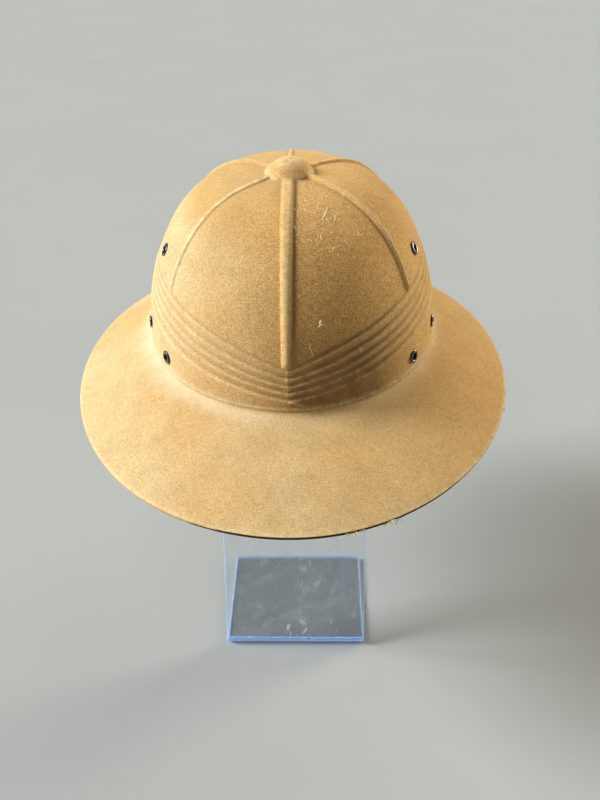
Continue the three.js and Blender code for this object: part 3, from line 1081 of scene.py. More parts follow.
@dataclass(frozen=True)
class Ribs:
    """Six moulded ribs from the pleats to the button, the front one the widest."""

    crown: Crown
    pleats: Pleats
    azimuths: tuple[float, ...] = (-180.0, -125.0, -56.0, 0.0, 56.0, 125.0)
    half_foot: tuple[float, ...] = (1.6 * MM, 1.6 * MM, 2.0 * MM, 3.4 * MM, 1.7 * MM, 1.6 * MM)
    half_top: tuple[float, ...] = (1.6 * MM, 2.4 * MM, 2.6 * MM, 3.8 * MM, 2.7 * MM, 2.4 * MM)
    height_foot: tuple[float, ...] = (1.7 * MM, 1.7 * MM, 1.1 * MM, 2.7 * MM, 1.8 * MM, 1.7 * MM)
    height_top: tuple[float, ...] = (0.7 * MM, 1.3 * MM, 0.9 * MM, 1.8 * MM, 2.1 * MM, 1.5 * MM)
    # Pale rib crests from rubbing; the strong one on the right front rib, which faces the key
    # lamp, is partly painted highlight.
    rubbed: tuple[float, ...] = (0.6, 0.7, 1.3, 0.5, 0.7, 0.7)
    # Painted shade in a line beside each rib, on the side turned from the light; the sign picks
    # the side.
    crease: tuple[float, ...] = (0.2, 0.2, 0.05, 0.9, -0.5, -0.2)
    square_foot: float = 2.0
    square_top: float = 3.6
    sink: tuple[float, float] = (0.6 * MM, 4.6 * MM)
    crest_width: float = 0.7
    crease_at: float = 1.15
    crease_width: float = 0.40
    margin: float = 1.5
    over: int = 20
    between: int = 40
    crowding: float = 0.6

    def middles(self) -> Array:
        """Azimuths of the ribs in radians."""
        return np.radians(np.array(self.azimuths))

    def half_widths(self, share: Array) -> Array:
        """Half width of every rib at a share of the way from the pleats to the button."""
        return lerp(np.array(self.half_foot), np.array(self.half_top), share[..., None])

    def columns(self, share: Array, spread: Array) -> Array:
        """Azimuths of the mesh columns of some rows.

        Even columns cross each rib and a margin beside it. Those between two ribs are
        closer together near the ribs: their share t of the gap becomes
        t - crowding sin(2 pi t) / (2 pi).

        Args:
            share: Way up the ribs of each row, 0 to 1.
            spread: Crown spread of each row at every rib, rows by ribs.

        Returns:
            Azimuths, rows by columns.
        """
        middles = self.middles()
        radius = self.crown.turn_radius(middles, spread)
        reach = self.margin * self.half_widths(share) / radius
        after = np.roll(middles, -1)
        after[-1] += FULL_TURN
        start = middles + reach
        end = after - np.roll(reach, -1, axis=1)
        over = middles[:, None] + reach[..., None] * np.linspace(-1.0, 1.0, self.over + 1)
        step = np.arange(1, self.between + 1) / (self.between + 1)
        step = step - self.crowding * np.sin(FULL_TURN * step) / FULL_TURN
        gaps = start[..., None] + (end - start)[..., None] * step
        return np.concatenate([over, gaps], axis=2).reshape(len(share), -1)

    def relief(self, azimuth: Array, arc: Array) -> tuple[Array, Array, Array]:
        """How far the ribs stand out, height (1 - |x|^squareness) over half widths x.

        A rib is a narrow rounded ridge at its foot and flatter and wider at its top.

        Args:
            azimuth: Angles round the crown.
            arc: Arcs up it.

        Returns:
            Relief, closeness to a rib's crest, and closeness to the crease beside it, where
            painted shade lies on the side turned from the light.
        """
        spread = self.crown.spread_at(arc)
        foot = self.crown.arc_at(self.pleats.edge_height(len(self.pleats.centre) - 1, azimuth))
        top = self.crown.arc_of_radius(np.array(self.crown.round_top))
        share = np.clip((arc - foot) / (top - foot), 0.0, 1.0)
        half = self.half_widths(share)
        square = lerp(self.square_foot, self.square_top, share)
        strength = ramp(arc - foot, *self.sink)
        relief, crest, crease = (np.zeros_like(arc) for _ in range(3))
        for index, middle in enumerate(self.middles()):
            across = turn_between(azimuth, middle) * self.crown.turn_radius(middle, spread)
            part = np.abs(across) / half[..., index]
            bead = np.clip(1.0 - np.minimum(part, 2.0) ** square, 0.0, 1.0)
            height = lerp(self.height_foot[index], self.height_top[index], share)
            relief = np.maximum(relief, height * strength * bead)
            rubbed = self.rubbed[index] * bell(part / self.crest_width)
            crest = np.maximum(crest, strength * rubbed)
            # Painted shade beside the rib, on the side its sign picks.
            beside = np.sign(self.crease[index]) * across / half[..., index]
            dark = abs(self.crease[index]) * bell((beside - self.crease_at) / self.crease_width)
            crease = np.maximum(crease, strength * dark)
        return relief, crest, crease


@dataclass(frozen=True)
class Button:
    """Round button moulded on the crown's top, flared where it meets the crown."""

    radius: float = 15.2 * MM
    height: float = 8.6 * MM
    dome: float = 2.3
    flare: float = 0.92
    crease: float = 0.25 * MM
    crease_at: float = 1.04
    crease_width: float = 0.05

    def relief(self, radius: Array) -> Array:
        """Rise over the crown, height (1 - x^dome)^flare over radii x, less its crease."""
        part = radius / self.radius
        dome = self.height * np.clip(1.0 - part**self.dome, 0.0, 1.0) ** self.flare
        return dome - self.crease * bell((part - self.crease_at) / self.crease_width)


@dataclass(frozen=True)
class FoldLine:
    """Soft fold between crown and brim, a fine groove and a rubbed welt above it."""

    fillet: float = 4.5 * MM
    groove_at: float = 0.9 * MM
    groove: float = 0.15 * MM
    groove_width: float = 0.9 * MM
    welt_at: float = 3.1 * MM
    welt: float = 0.75 * MM
    welt_width: float = 1.7 * MM
    uneven: float = 0.3
    faint: float = 0.2
    clear: tuple[float, float] = (0.12, 0.67)

    def strength(self, azimuth: Array) -> Array:
        """How clear the welt is: sharp at the front and back, faint at the sides."""
        return lerp(self.faint, 1.0, ramp(np.abs(np.cos(azimuth)), *self.clear))

    def relief(self, azimuth: Array, arc: Array) -> Array:
        """Two bell curves along the arc, the groove inwards and the welt outwards."""
        groove = self.groove * bell((arc - self.groove_at) / self.groove_width)
        uneven = 1.0 + self.uneven * ripple(Seed.WELT, azimuth, 0.0 * azimuth, 13, 1.0)
        welt = self.welt * uneven * bell((arc - self.welt_at) / self.welt_width)
        return self.strength(azimuth) * (welt - groove)


@dataclass(frozen=True)
class Streak:
    """A soft line of colour, used for stains, rubbing and painted shade: strength x bell((value -
    middle) / width).
    """

    strength: float
    middle: float
    width: float

    def over(self, value: Array) -> Array:
        """How strong the stain is where its coordinate has that value."""
        return self.strength * bell((value - self.middle) / self.width)


@dataclass(frozen=True)
class Smudge:
    """A soft oval of colour, used for stains and painted shadow: a streak over the azimuth in
    degrees, and a bell over the arc.
    """

    round: Streak
    arc: float
    reach: float

    def over(self, turn: Array, arc: Array) -> Array:
        """How strong the stain is at an azimuth in degrees and an arc."""
        return self.round.over(turn) * bell((arc - self.arc) / self.reach)


@dataclass(frozen=True)
class ClothAgeAndShade:
    """Where the cloth is rubbed, dirty, dusted and paled by the sun, and where painted light and
    shade lie in its colour.

    Pairs of strengths are for the left and the right side, or for the rest and the front's left
    half, which is darkened by painted shade and some dirt. Pairs of places are where a soft step
    starts and where it ends.
    """

    brim: Brim
    fold: FoldLine
    button: Button
    # Pale pleat edges: rubbing, made stronger on the lit right side as painted highlight.
    edge_wear_and_highlight: tuple[float, float] = (0.30, 0.45)
    crest_wear_and_highlight: float = 0.62
    welt_wear_and_highlight: Streak = Streak(0.42, 0.0, 1.3 * MM)
    side_wear_and_highlight: Streak = Streak(0.22, -1.0 * MM, 6.0 * MM)
    rim_wear_and_highlight: float = 0.6
    rim_band: tuple[float, float] = (1.4 * MM, 0.8 * MM)
    button_wear_and_highlight: Streak = Streak(0.45, 0.93, 0.1)
    button_top: float = 0.50
    button_top_at: tuple[float, float] = (0.85, 0.35)
    # Painted shade with some dirt: the front's left half, turned from the key lamp, is darker.
    shade_and_dirt_from: tuple[float, float] = (-1.8, 4.2)
    shade_and_dirt_to: tuple[float, float] = (62.0, 18.0)
    tuck_soil: tuple[float, float] = (0.36, 1.21)
    tuck_lit_side_lighter: float = 0.15
    # Painted shade, partly dirt, over the front's left wall.
    wall_soil: float = 1.05
    wall_foot: float = 5.0 * MM
    wall_top: tuple[float, float] = (66.0 * MM, 10.0 * MM)
    dark_smudges: tuple[Smudge, ...] = (
        # Painted shadow of the crown on the brim beside the fold, on the helmet's left.
        Smudge(Streak(0.30, 42.0, 34.0), -13.0 * MM, 14.0 * MM),
        # Darker oval high on the crown's right front.
        Smudge(Streak(0.22, -38.0, 17.0), 96.0 * MM, 24.0 * MM),
    )
    # Painted shade just above the welt, on the side away from the key lamp.
    over_welt: Streak = Streak(0.35, 2.2 * MM, 1.1 * MM)
    # Painted shade in the groove at the fold, lighter on the lit right side.
    groove_soil: Streak = Streak(0.40, 0.0, 0.9 * MM)
    groove_lit_side_lighter: float = 0.8
    # Painted shadow of the button on the crown, on the side away from the key lamp.
    button_soil: Streak = Streak(0.5, 1.06, 0.1)
    # Pale band along the fold: dustiness, and on the lit right side painted highlight, hence the
    # larger right strength.
    fold_dust: Streak = Streak(1.0, -3.5 * MM, 6.5 * MM)
    dust: tuple[float, float] = (0.08, 0.58)
    dust_smudge: Smudge = Smudge(Streak(0.22, 55.0, 20.0), -1.0 * MM, 5.0 * MM)
    weave_from: tuple[float, float] = (1.5, 4.0)
    nap_from: tuple[float, float] = (-2.0 * MM, 5.0 * MM)
    nap: float = 0.6
    nap_shade_and_dirt: float = 0.5
    nap_flat: float = 0.45
    unfaded_from: tuple[float, float] = (82.0 * MM, 106.0 * MM)
    unfaded: float = 0.8
    # Brim paler towards the lit right side: partly sun fade, partly painted light.
    brim_fade: tuple[float, float] = (0.25, 0.85)
    brim_from: tuple[float, float] = (4.0 * MM, -4.0 * MM)

    def right_side(self, azimuth: Array) -> Array:
        """Share of the helmet's right side, a soft step of the sine of the azimuth."""
        return smooth(0.5 - np.sin(azimuth + 0.35) * 0.9)

    def shade_and_dirt_part(self, turn: Array) -> Array:
        """Share of the front's left half, turned from the key lamp, by degrees of azimuth: where
        painted shade lies, with some dirt.
        """
        return ramp(turn, *self.shade_and_dirt_from) * ramp(turn, *self.shade_and_dirt_to)

    def stains(
        self, azimuth: Array, arc: Array, edge: Array, tuck: Array, crest: Array, radius: Array
    ) -> dict[StainAndShade, Array]:
        """Every stain, and the painted light and shade, at some points of the outer face.

        Args:
            azimuth: Angles round the helmet.
            arc: Arcs along it.
            edge: Closeness to a pleat's edge.
            tuck: Closeness to a tuck or crease.
            crest: Closeness to a rib's crest.
            radius: Half widths of the crown.

        Returns:
            Values from 0 to 1 by stain.
        """
        turn, part = np.degrees(azimuth), radius / self.button.radius
        right, shade_and_dirt = self.right_side(azimuth), self.shade_and_dirt_part(turn)
        from_rim = arc + self.brim.length(azimuth)
        welt = self.fold.strength(azimuth)
        over_welt, over_groove = arc - self.fold.welt_at, arc - self.fold.groove_at
        # Paler on pleat edges and rib crests from rubbing; stronger on the lit right side, which
        # is painted highlight.
        wear_and_highlight = lerp(*self.edge_wear_and_highlight, right) * edge + self.crest_wear_and_highlight * crest
        wear_and_highlight += welt * self.welt_wear_and_highlight.over(over_welt) + (1.0 - welt) * self.side_wear_and_highlight.over(arc)
        wear_and_highlight += self.rim_wear_and_highlight * ramp(from_rim, *self.rim_band) + self.button_wear_and_highlight.over(part)
        wear_and_highlight += self.button_top * ramp(part, *self.button_top_at)
        # Painted shade, partly dirt: darker in the pleats' tucks and beside the ribs, far more on
        # the front's left half and a little less on the lit right side.
        soil = lerp(*self.tuck_soil, shade_and_dirt) * tuck * (1.0 - self.tuck_lit_side_lighter * right)
        # Painted shade, partly dirt: the front's left wall darkened from the fold up to about two
        # thirds of the crown.
        wall = ramp(arc, 0.0, self.wall_foot) * ramp(arc, *self.wall_top)
        soil += self.wall_soil * shade_and_dirt * wall
        # Darker ovals: the crown's painted shadow on the brim, and a patch high on the right
        # front.
        soil += sum(smudge.over(turn, arc) for smudge in self.dark_smudges)
        # Painted shade just above the welt, on the side away from the key lamp.
        soil += welt * self.over_welt.over(over_welt) * (1.0 - right)
        # Painted shade in the groove at the fold, lighter on the lit right side.
        soil += welt * self.groove_soil.over(over_groove) * (1.0 - self.groove_lit_side_lighter * right)
        # Painted shadow of the button on the crown, on the side away from the key lamp.
        soil += self.button_soil.over(part) * smooth(0.4 + np.sin(azimuth + 0.3))
        # Paler along the fold: dustiness, made stronger on the lit right side as painted
        # highlight.
        dust = self.fold_dust.over(arc) * lerp(*self.dust, right)
        dust += self.dust_smudge.over(turn, arc)
        raised = self.nap + self.nap_shade_and_dirt * shade_and_dirt - self.nap_flat * right
        return {
            StainAndShade.WEAR_AND_HIGHLIGHT: np.clip(wear_and_highlight, 0.0, 1.0),
            StainAndShade.SOIL: np.clip(soil, 0.0, 1.0),
            StainAndShade.DUST: np.clip(dust, 0.0, 1.0),
            StainAndShade.THREADS: ramp(part, *self.weave_from),
            StainAndShade.BARE: np.zeros_like(wear_and_highlight),
            StainAndShade.FADE: self.paled_by_sun_and_light(azimuth, arc),
            StainAndShade.NAP: ramp(arc, *self.nap_from) * raised,
        }

    def paled_by_sun_and_light(self, azimuth: Array, arc: Array) -> Array:
        """How pale the cloth is made, most on the helmet's right side, which the key lamp lights:
        partly sun fade, partly painted light.

        Args:
            azimuth: Angles round the helmet.
            arc: Arcs along it.

        Returns:
            Shares from 0 to 1.
        """
        # Paler towards the helmet's right side, which the key lamp lights, less so near the top:
        # partly sun fade, partly painted light.
        crown = smooth(0.42 - 0.75 * np.sin(azimuth + 0.25))
        crown = crown * (1.0 - self.unfaded * ramp(arc, *self.unfaded_from))
        brim = lerp(*self.brim_fade, smooth(0.75 - 0.75 * np.sin(azimuth - 0.2)))
        return lerp(crown, brim, ramp(arc, *self.brim_from))


@dataclass(frozen=True)
class EyeletPlace:
    """Where a pair of eyelets sits: azimuth in degrees, height and the wall's relief."""

    name: str
    azimuth: float
    rise: float
    wall_relief: float


EYELET_PLACES = (
    EyeletPlace("upper", 73.0, 65.0 * MM, 0.0),
    EyeletPlace("front", 54.0, 10.5 * MM, 0.5 * MM),
    EyeletPlace("side", 75.0, 15.0 * MM, 0.5 * MM),
)


@dataclass
class HelmetShell:
    """The one moulded shell: crown, ribs, button, pleats and brim, one wall thick."""

    seat: Seat = field(default_factory=Seat)
    crown: Crown = field(default_factory=Crown)
    button: Button = field(default_factory=Button)
    fold: FoldLine = field(default_factory=FoldLine)
    brim_rows: int = 30
    corner_rows: int = 24
    band_rows: int = 9
    lap_rows: tuple[float, ...] = (
        *(0.0, 0.05, 0.1, 0.17, 0.25, 0.34, 0.45, 0.58, 0.7, 0.81, 0.9, 0.96),
    )
    shoulder_rows: tuple[float, ...] = (0.3, 0.6, 0.95, 1.35, 1.8, 2.4, 3.2, 4.2)
    crown_rows: int = 46
    crown_end: float = 1.35
    button_rows: tuple[float, ...] = (
        *(1.26, 1.18, 1.12, 1.08, 1.04, 1.0, 0.97, 0.93, 0.88, 0.82, 0.75, 0.67),
        *(0.58, 0.49, 0.4, 0.31, 0.22, 0.14, 0.07),
    )
    inner_rows: tuple[int, int, int] = (9, 7, 34)
    inner_ribs: float = 0.45
    hole_radius: float = 3.36 * MM
    hole_sides: int = 48
    drill_depth: float = 3.0
    wall_from: tuple[float, float] = (3.4 * MM, 5.6 * MM)
    undulation: float = 0.30 * MM
    undulation_from: float = 30.0 * MM
    undulation_length: float = 45.0 * MM

    def __post_init__(self) -> None:
        """Joins the forms that share the crown."""
        self.brim = Brim(self.crown)
        self.pleats = Pleats(self.crown)
        self.ribs = Ribs(self.crown, self.pleats)
        self.age = ClothAgeAndShade(self.brim, self.fold, self.button)

    # surface as a function of azimuth and arc

    def relief(self, azimuth: Array, arc: Array) -> tuple[Array, dict[StainAndShade, Array]]:
        """Everything that stands out from the plain form, and the rubbing, dirt, fade and painted
        light and shade it carries.

        Args:
            azimuth: Angles round the helmet.
            arc: Arcs along it.

        Returns:
            Relief along the normal, and the value of each stain.
        """
        rise, spread = self.crown.rise_at(arc), self.crown.spread_at(arc)
        radius = spread * self.crown.half_width
        pleats, edge, tuck = self.pleats.relief(azimuth, rise)
        ribs, crest, crease = self.ribs.relief(azimuth, arc)
        button = self.button.relief(radius)
        on_wall = ramp(arc, *self.wall_from)
        pleats, edge, tuck = pleats * on_wall, edge * on_wall, tuck * on_wall
        clear = ramp(radius, self.button.radius, self.button.radius + 1.5 * MM)
        crest, crease = crest * clear, crease * clear
        above = ramp(radius, 0.6 * self.button.radius, self.button.radius)
        uneven = ripple(Seed.WALL, azimuth, arc, 9, self.undulation_length)
        uneven = self.undulation * ramp(arc, 0.0, self.undulation_from) * uneven
        relief = pleats + np.maximum(ribs * above, button)
        relief += self.fold.relief(azimuth, arc) + uneven * above
        hollows = np.maximum(tuck, crease)
        return relief, self.age.stains(azimuth, arc, edge, hollows, crest, radius)

    def skin_point(self, azimuth: Array, arc: Array, lift: Array) -> Array:
        """Point at a lift over the crown's finished outer face, in the helmet's frame."""
        relief, _ = self.relief(azimuth, arc)
        normal = self.crown.normal(azimuth, arc)
        return self.crown.point(azimuth, arc) + normal * (relief + lift)[..., None]

    # rows of the mesh

    def foot_columns(self, rows: int) -> Array:
        """Azimuths of rows below the ribbed crown, the same on each."""
        ribs = len(self.ribs.azimuths)
        return self.ribs.columns(np.zeros(rows), np.ones((rows, ribs)))

    def brim_zone(self, rows: int, start: float) -> Rows:
        """Rows of the brim from near the rim to the fillet, evenly spaced.

        Args:
            rows: Number of rows.
            start: Distance of the first row from the rim.

        Returns:
            Azimuths, arcs and places, rows by columns.
        """
        azimuth = self.foot_columns(rows)
        length = self.brim.length(azimuth)
        share = np.linspace(0.0, 1.0, rows)[:, None]
        first, last = 1.0 - start / length, self.fold.fillet / length
        reach = lerp(first, last, share)
        return azimuth, -reach * length, self.brim.point(azimuth, reach)

    def corner_zone(self, rows: int) -> Rows:
        """Rows round the fold, a quadratic curve from the brim to the crown's wall.

        Args:
            rows: Number of rows.

        Returns:
            Azimuths, arcs and places, rows by columns.
        """
        azimuth = self.foot_columns(rows)
        step = np.linspace(0.0, 1.0, rows + 2)[1:-1][:, None] + np.zeros_like(azimuth)
        size = self.fold.fillet
        low = self.brim.point(azimuth, size / self.brim.length(azimuth))
        fold = self.crown.point(azimuth, np.zeros_like(azimuth))
        high = self.crown.point(azimuth, np.full_like(azimuth, size))
        share = step[..., None]
        place = low * (1 - share) ** 2 + fold * 2 * share * (1 - share) + high * share**2
        return azimuth, (2.0 * step - 1.0) * size, place

    def wall_zone(self) -> Rows:
        """Rows of the plain band and the pleats, which follow the pleats' edges.

        Returns:
            Azimuths, arcs and places, rows by columns.
        """
        lap_rows = np.array(self.lap_rows)
        edges = len(self.pleats.centre)
        bands = np.linspace(0.0, 1.0, self.band_rows + 1)[:-1] ** 0.8
        rows = len(bands) + len(lap_rows) * (edges - 1) + 1
        azimuth = self.foot_columns(rows)
        heights = [self.pleats.edge_height(index, azimuth[:1]) for index in range(edges)]
        base = self.crown.rise_at(np.full_like(azimuth[:1], self.fold.fillet))
        rise = [lerp(base, heights[0], bands[:, None])]
        rise += [lerp(low, high, lap_rows[:, None]) for low, high in zip(heights, heights[1:])]
        arc = self.crown.arc_at(np.concatenate([*rise, heights[-1]]))
        return azimuth, arc, self.crown.point(azimuth, arc)

    def crown_zone(self, rows: int) -> Rows:
        """Rows of the ribbed crown, even in arc between the top pleat and the button.

        Args:
            rows: Number of rows above the top pleat's shoulder.

        Returns:
            Azimuths, arcs and places, rows by columns.
        """
        shoulder = np.array(self.shoulder_rows) * MM
        climb = np.linspace(0.0, 1.0, rows + 1)[1:]
        end = float(self.crown.arc_of_radius(np.array(self.crown_end * self.button.radius)))
        edge = len(self.pleats.centre) - 1
        middles = self.ribs.middles()[None, :]
        low = self.crown.arc_at(self.pleats.edge_height(edge, middles)) + shoulder[:, None]
        high = lerp(low[-1:], end, climb[:, None])
        spread = self.crown.spread_at(np.concatenate([low, high]))
        share = np.concatenate([np.zeros(len(shoulder)), climb])
        azimuth = self.ribs.columns(share, spread)
        start = self.crown.arc_at(self.pleats.edge_height(edge, azimuth))
        low = start[: len(shoulder)] + shoulder[:, None]
        first = start[len(shoulder) :] + shoulder[-1]
        arc = np.concatenate([low, lerp(first, end, climb[:, None])])
        return azimuth, arc, self.crown.point(azimuth, arc)

    def button_zone(self) -> Rows:
        """Rows of the button, closest together where it meets the crown.

        Returns:
            Azimuths, arcs and places, rows by columns.
        """
        parts = np.array(self.button_rows)
        ribs = len(self.ribs.azimuths)
        spread = np.full((len(parts), ribs), self.button.radius / self.crown.half_width)
        azimuth = self.ribs.columns(np.ones(len(parts)), spread)
        arc = self.crown.arc_of_radius(parts * self.button.radius)[:, None]
        arc = arc + np.zeros_like(azimuth)
        return azimuth, arc, self.crown.point(azimuth, arc)

    @staticmethod
    def grid_normals(place: Array) -> Array:
        """Outward directions of a grid of rows from the rim up: round x up."""
        around = np.roll(place, -1, axis=1) - np.roll(place, 1, axis=1)
        return unit(np.cross(around, np.gradient(place, axis=0)))

    def outer_face(self) -> tuple[Array, Array, Array, dict[StainAndShade, Array]]:
        """Outer face from beside the rim to beside the top point.

        Returns:
            Azimuths, arcs, places and stains of its rows.
        """
        zones = [
            self.brim_zone(self.brim_rows, self.brim.edge_round),
            self.corner_zone(self.corner_rows),
            self.wall_zone(),
            self.crown_zone(self.crown_rows),
            self.button_zone(),
        ]
        azimuth, arc, place = (np.concatenate(parts) for parts in zip(*zones))
        relief, stains = self.relief(azimuth, arc)
        return azimuth, arc, place + self.grid_normals(place) * relief[..., None], stains

    def inner_face(self) -> Rows:
        """Inner face in the same order, one wall inside the plain form.

        Returns:
            Azimuths, arcs and places, rows by columns.
        """
        brim_rows, corner_rows, rows = self.inner_rows
        rise = np.linspace(0.0, 1.0, rows)[:, None]
        azimuth = self.foot_columns(rows)
        top = float(self.crown.arc_of_radius(np.array(3.0 * MM)))
        arc = lerp(self.fold.fillet * 1.3, top, rise) + np.zeros_like(azimuth)
        zones = [
            self.brim_zone(brim_rows, self.brim.edge_round),
            self.corner_zone(corner_rows),
            (azimuth, arc, self.crown.point(azimuth, arc)),
        ]
        azimuth, arc, place = (np.concatenate(parts) for parts in zip(*zones))
        ribs, *_ = self.ribs.relief(azimuth, np.maximum(arc, 0.0))
        hollow = self.inner_ribs * ribs * ramp(self.crown.spread_at(arc), 0.1, 0.25)
        depth = (hollow - self.crown.wall)[..., None]
        return azimuth, arc, place + self.grid_normals(place) * depth

    def rim_edge(self) -> Rows:
        """Edge of the brim from its underside to its top, with two rounded corners.

        Each corner is a quarter circle about a centre one rounding in from both faces.

        Returns:
            Azimuths, arcs and places, rows by columns.
        """
        steps = np.radians([25.0, 50.0, 75.0, 90.0])
        azimuth = self.foot_columns(1)
        reach = np.ones_like(azimuth)
        rim = self.brim.point(azimuth, reach)
        out, up = self.brim.outward(azimuth, reach), self.brim.normal(azimuth, reach)
        size, wall = self.brim.edge_round, self.crown.wall
        low = rim - out * size - up * (wall - size)
        high = rim - out * size - up * size
        sin, cos = np.sin(steps)[:, None, None], np.cos(steps)[:, None, None]
        under = low + size * (sin * out - cos * up)
        middle = rim - up * wall / 2.0
        over = high + size * (np.flip(sin, 0) * out + np.flip(cos, 0) * up)
        place = np.concatenate([under, middle, over])
        turns = np.repeat(azimuth, len(place), axis=0)
        return turns, np.repeat(-self.brim.length(azimuth), len(place), axis=0), place

    def bareness(self, azimuth: Array) -> Array:
        """How far the rim's edge is rubbed to its core: most along the front.

        Args:
            azimuth: Angles round the rim, rows by columns, from the underside up.

        Returns:
            Shares from 0 to 1.
        """
        front = smooth((azimuth + 0.55) / 0.5) * smooth((1.05 - azimuth) / 0.5)
        patches = smooth(ripple(Seed.RIM, azimuth, 0.0 * azimuth, 8, 1.0) - 0.9)
        lower = smooth(np.linspace(2.3, 0.0, len(azimuth)))[:, None]
        return np.clip(0.95 * front + 0.6 * patches, 0.0, 1.0) * (0.35 + 0.65 * lower)

    # the piece

    def build(self) -> bpy.types.Object:
        """Makes the shell, drills its eyelet holes and sets it on the frame.

        Returns:
            The piece.
        """
        inner_azimuth, inner_arc, inner = self.inner_face()
        edge_azimuth, edge_arc, edge = self.rim_edge()
        outer_azimuth, outer_arc, outer, stains = self.outer_face()
        place = np.concatenate([inner[::-1], edge, outer])
        azimuth = np.concatenate([inner_azimuth[::-1], edge_azimuth, outer_azimuth])
        arc = np.concatenate([inner_arc[::-1], edge_arc, outer_arc])
        rings, columns = azimuth.shape
        poles = np.array([inner[-1].mean(0), outer[-1].mean(0)])
        poles[1, 2] = self.crown.height + self.button.height
        points = self.seat.placed(np.concatenate([place.reshape(-1, 3), poles]))
        count = rings * columns
        faces = [
            ring_faces(rings, columns),
            fan_faces(count, 0, columns),
            fan_faces(count + 1, count - columns, columns)[:, ::-1],
        ]
        skin = np.full(rings - 1, ShellFinish.CLOTH)
        under = len(inner)
        skin[:under] = ShellFinish.FIBRE
        skin[under : under + len(edge) - 1] = ShellFinish.RIM
        finish_of = [
            np.repeat(skin, columns),
            np.full(columns, ShellFinish.FIBRE),
            np.full(columns, ShellFinish.CLOTH),
        ]
        blank = np.zeros((under + len(edge)) * columns)
        bare = np.concatenate([np.zeros(under * columns), self.bareness(edge_azimuth).ravel()])
        values = {
            stain: np.concatenate(
                [bare if stain is StainAndShade.BARE else blank, value.ravel(), [0.0, value[-1].mean()]]
            )
            for stain, value in stains.items()
        }
        fibre = RubbedFibre("inner_fibre_plain", (0.16, 0.10, 0.055), (0.26, 0.17, 0.095))
        shell = build_piece(
            "helmet_shell_cloth",
            points,
            faces,
            [finish.material() for finish in (KhakiCloth(), RimEdge(), fibre)],
            finish_of,
            self.lay_of_cloth(azimuth, arc),
            values,
        )
        self.drill(shell)
        put_on_frame(shell, Slot.CLOTH, "helmet_shell")
        return shell

    def lay_of_cloth(self, azimuth: Array, arc: Array) -> list[Array]:
        """Texture places of the faces: distance round at the fold, and arc, in metres.

        Args:
            azimuth: Azimuths of the rings, rings by columns.
            arc: Their arcs.

        Returns:
            Texture place of each face corner, for the quads and the two fans.
        """
        mean = (self.crown.half_length + self.crown.half_width) / 2.0
        closed = np.concatenate([azimuth, azimuth[:, :1] + FULL_TURN], axis=1) * mean
        along = np.concatenate([arc, arc[:, :1]], axis=1)
        grid = np.stack([closed, along], -1)
        quads = np.stack([grid[:-1, :-1], grid[:-1, 1:], grid[1:, 1:], grid[1:, :-1]], 2)
        quads = quads.reshape(-1, 4, 2)
        low, high = grid[0], grid[-1]
        inner = np.stack([(low[:-1] + low[1:]) / 2, low[1:], low[:-1]], 1)
        outer = np.stack([(high[:-1] + high[1:]) / 2, high[1:], high[:-1]], 1)[:, ::-1]
        return [quads, inner, outer]

    def drill(self, shell: bpy.types.Object) -> None:
        """Cuts a round hole through the wall for every eyelet.

        Args:
            shell: The shell's piece.
        """
        turn = np.linspace(0.0, FULL_TURN, self.hole_sides, endpoint=False)
        points, faces = [], [[], []]
        for place in EYELET_PLACES:
            for side in Side:
                centre, along, first, second = eyelet_axes(self, place, side)
                ring = np.cos(turn)[:, None] * first + np.sin(turn)[:, None] * second
                start = sum(len(part) for part in points)
                for end in (-self.drill_depth, self.drill_depth):
                    rim = centre + self.hole_radius * ring
                    points.append(rim + along * end * self.crown.wall)
                faces[0].append(ring_faces(2, self.hole_sides, start))
                caps = np.arange(self.hole_sides)
                faces[1].append(np.stack([start + caps[::-1], start + self.hole_sides + caps]))
        groups = [np.concatenate(group) for group in faces]
        cutter = build_piece("eyelet_drill", np.concatenate(points), groups, [])
        cut = shell.modifiers.new("eyelet_holes", "BOOLEAN")
        cut.operation, cut.solver, cut.object = "DIFFERENCE", "EXACT", cutter
        settle_modifiers(shell)
        bpy.data.objects.remove(cutter)


def settle_modifiers(piece: bpy.types.Object) -> None:
    """Replaces a piece's mesh by the one its modifiers give.

    Args:
        piece: Piece with modifiers.
    """
    graph = bpy.context.evaluated_depsgraph_get()
    done = bpy.data.meshes.new_from_object(
        piece.evaluated_get(graph), preserve_all_data_layers=True, depsgraph=graph
    )
    piece.modifiers.clear()
    piece.data = done


def eyelet_axes(
    shell: HelmetShell, place: EyeletPlace, side: Side
) -> tuple[Array, Array, Array, Array]:
    """Place and axes of an eyelet.

    Args:
        shell: Shell it is set through.
        place: Where it sits.
        side: Which side it is on.

    Returns:
        Its centre on the plain wall, its outward axis and two directions square to it.
    """
    azimuth = np.array([math.radians(place.azimuth) * side])
    arc = shell.crown.arc_at(np.array([place.rise]))
    centre = shell.seat.placed(shell.crown.point(azimuth, arc))[0]
    along = shell.seat.turned(shell.crown.normal(azimuth, arc))[0]
    first = unit(np.cross(along, np.array([0.0, 0.0, 1.0])))
    return centre, along, first, np.cross(along, first)


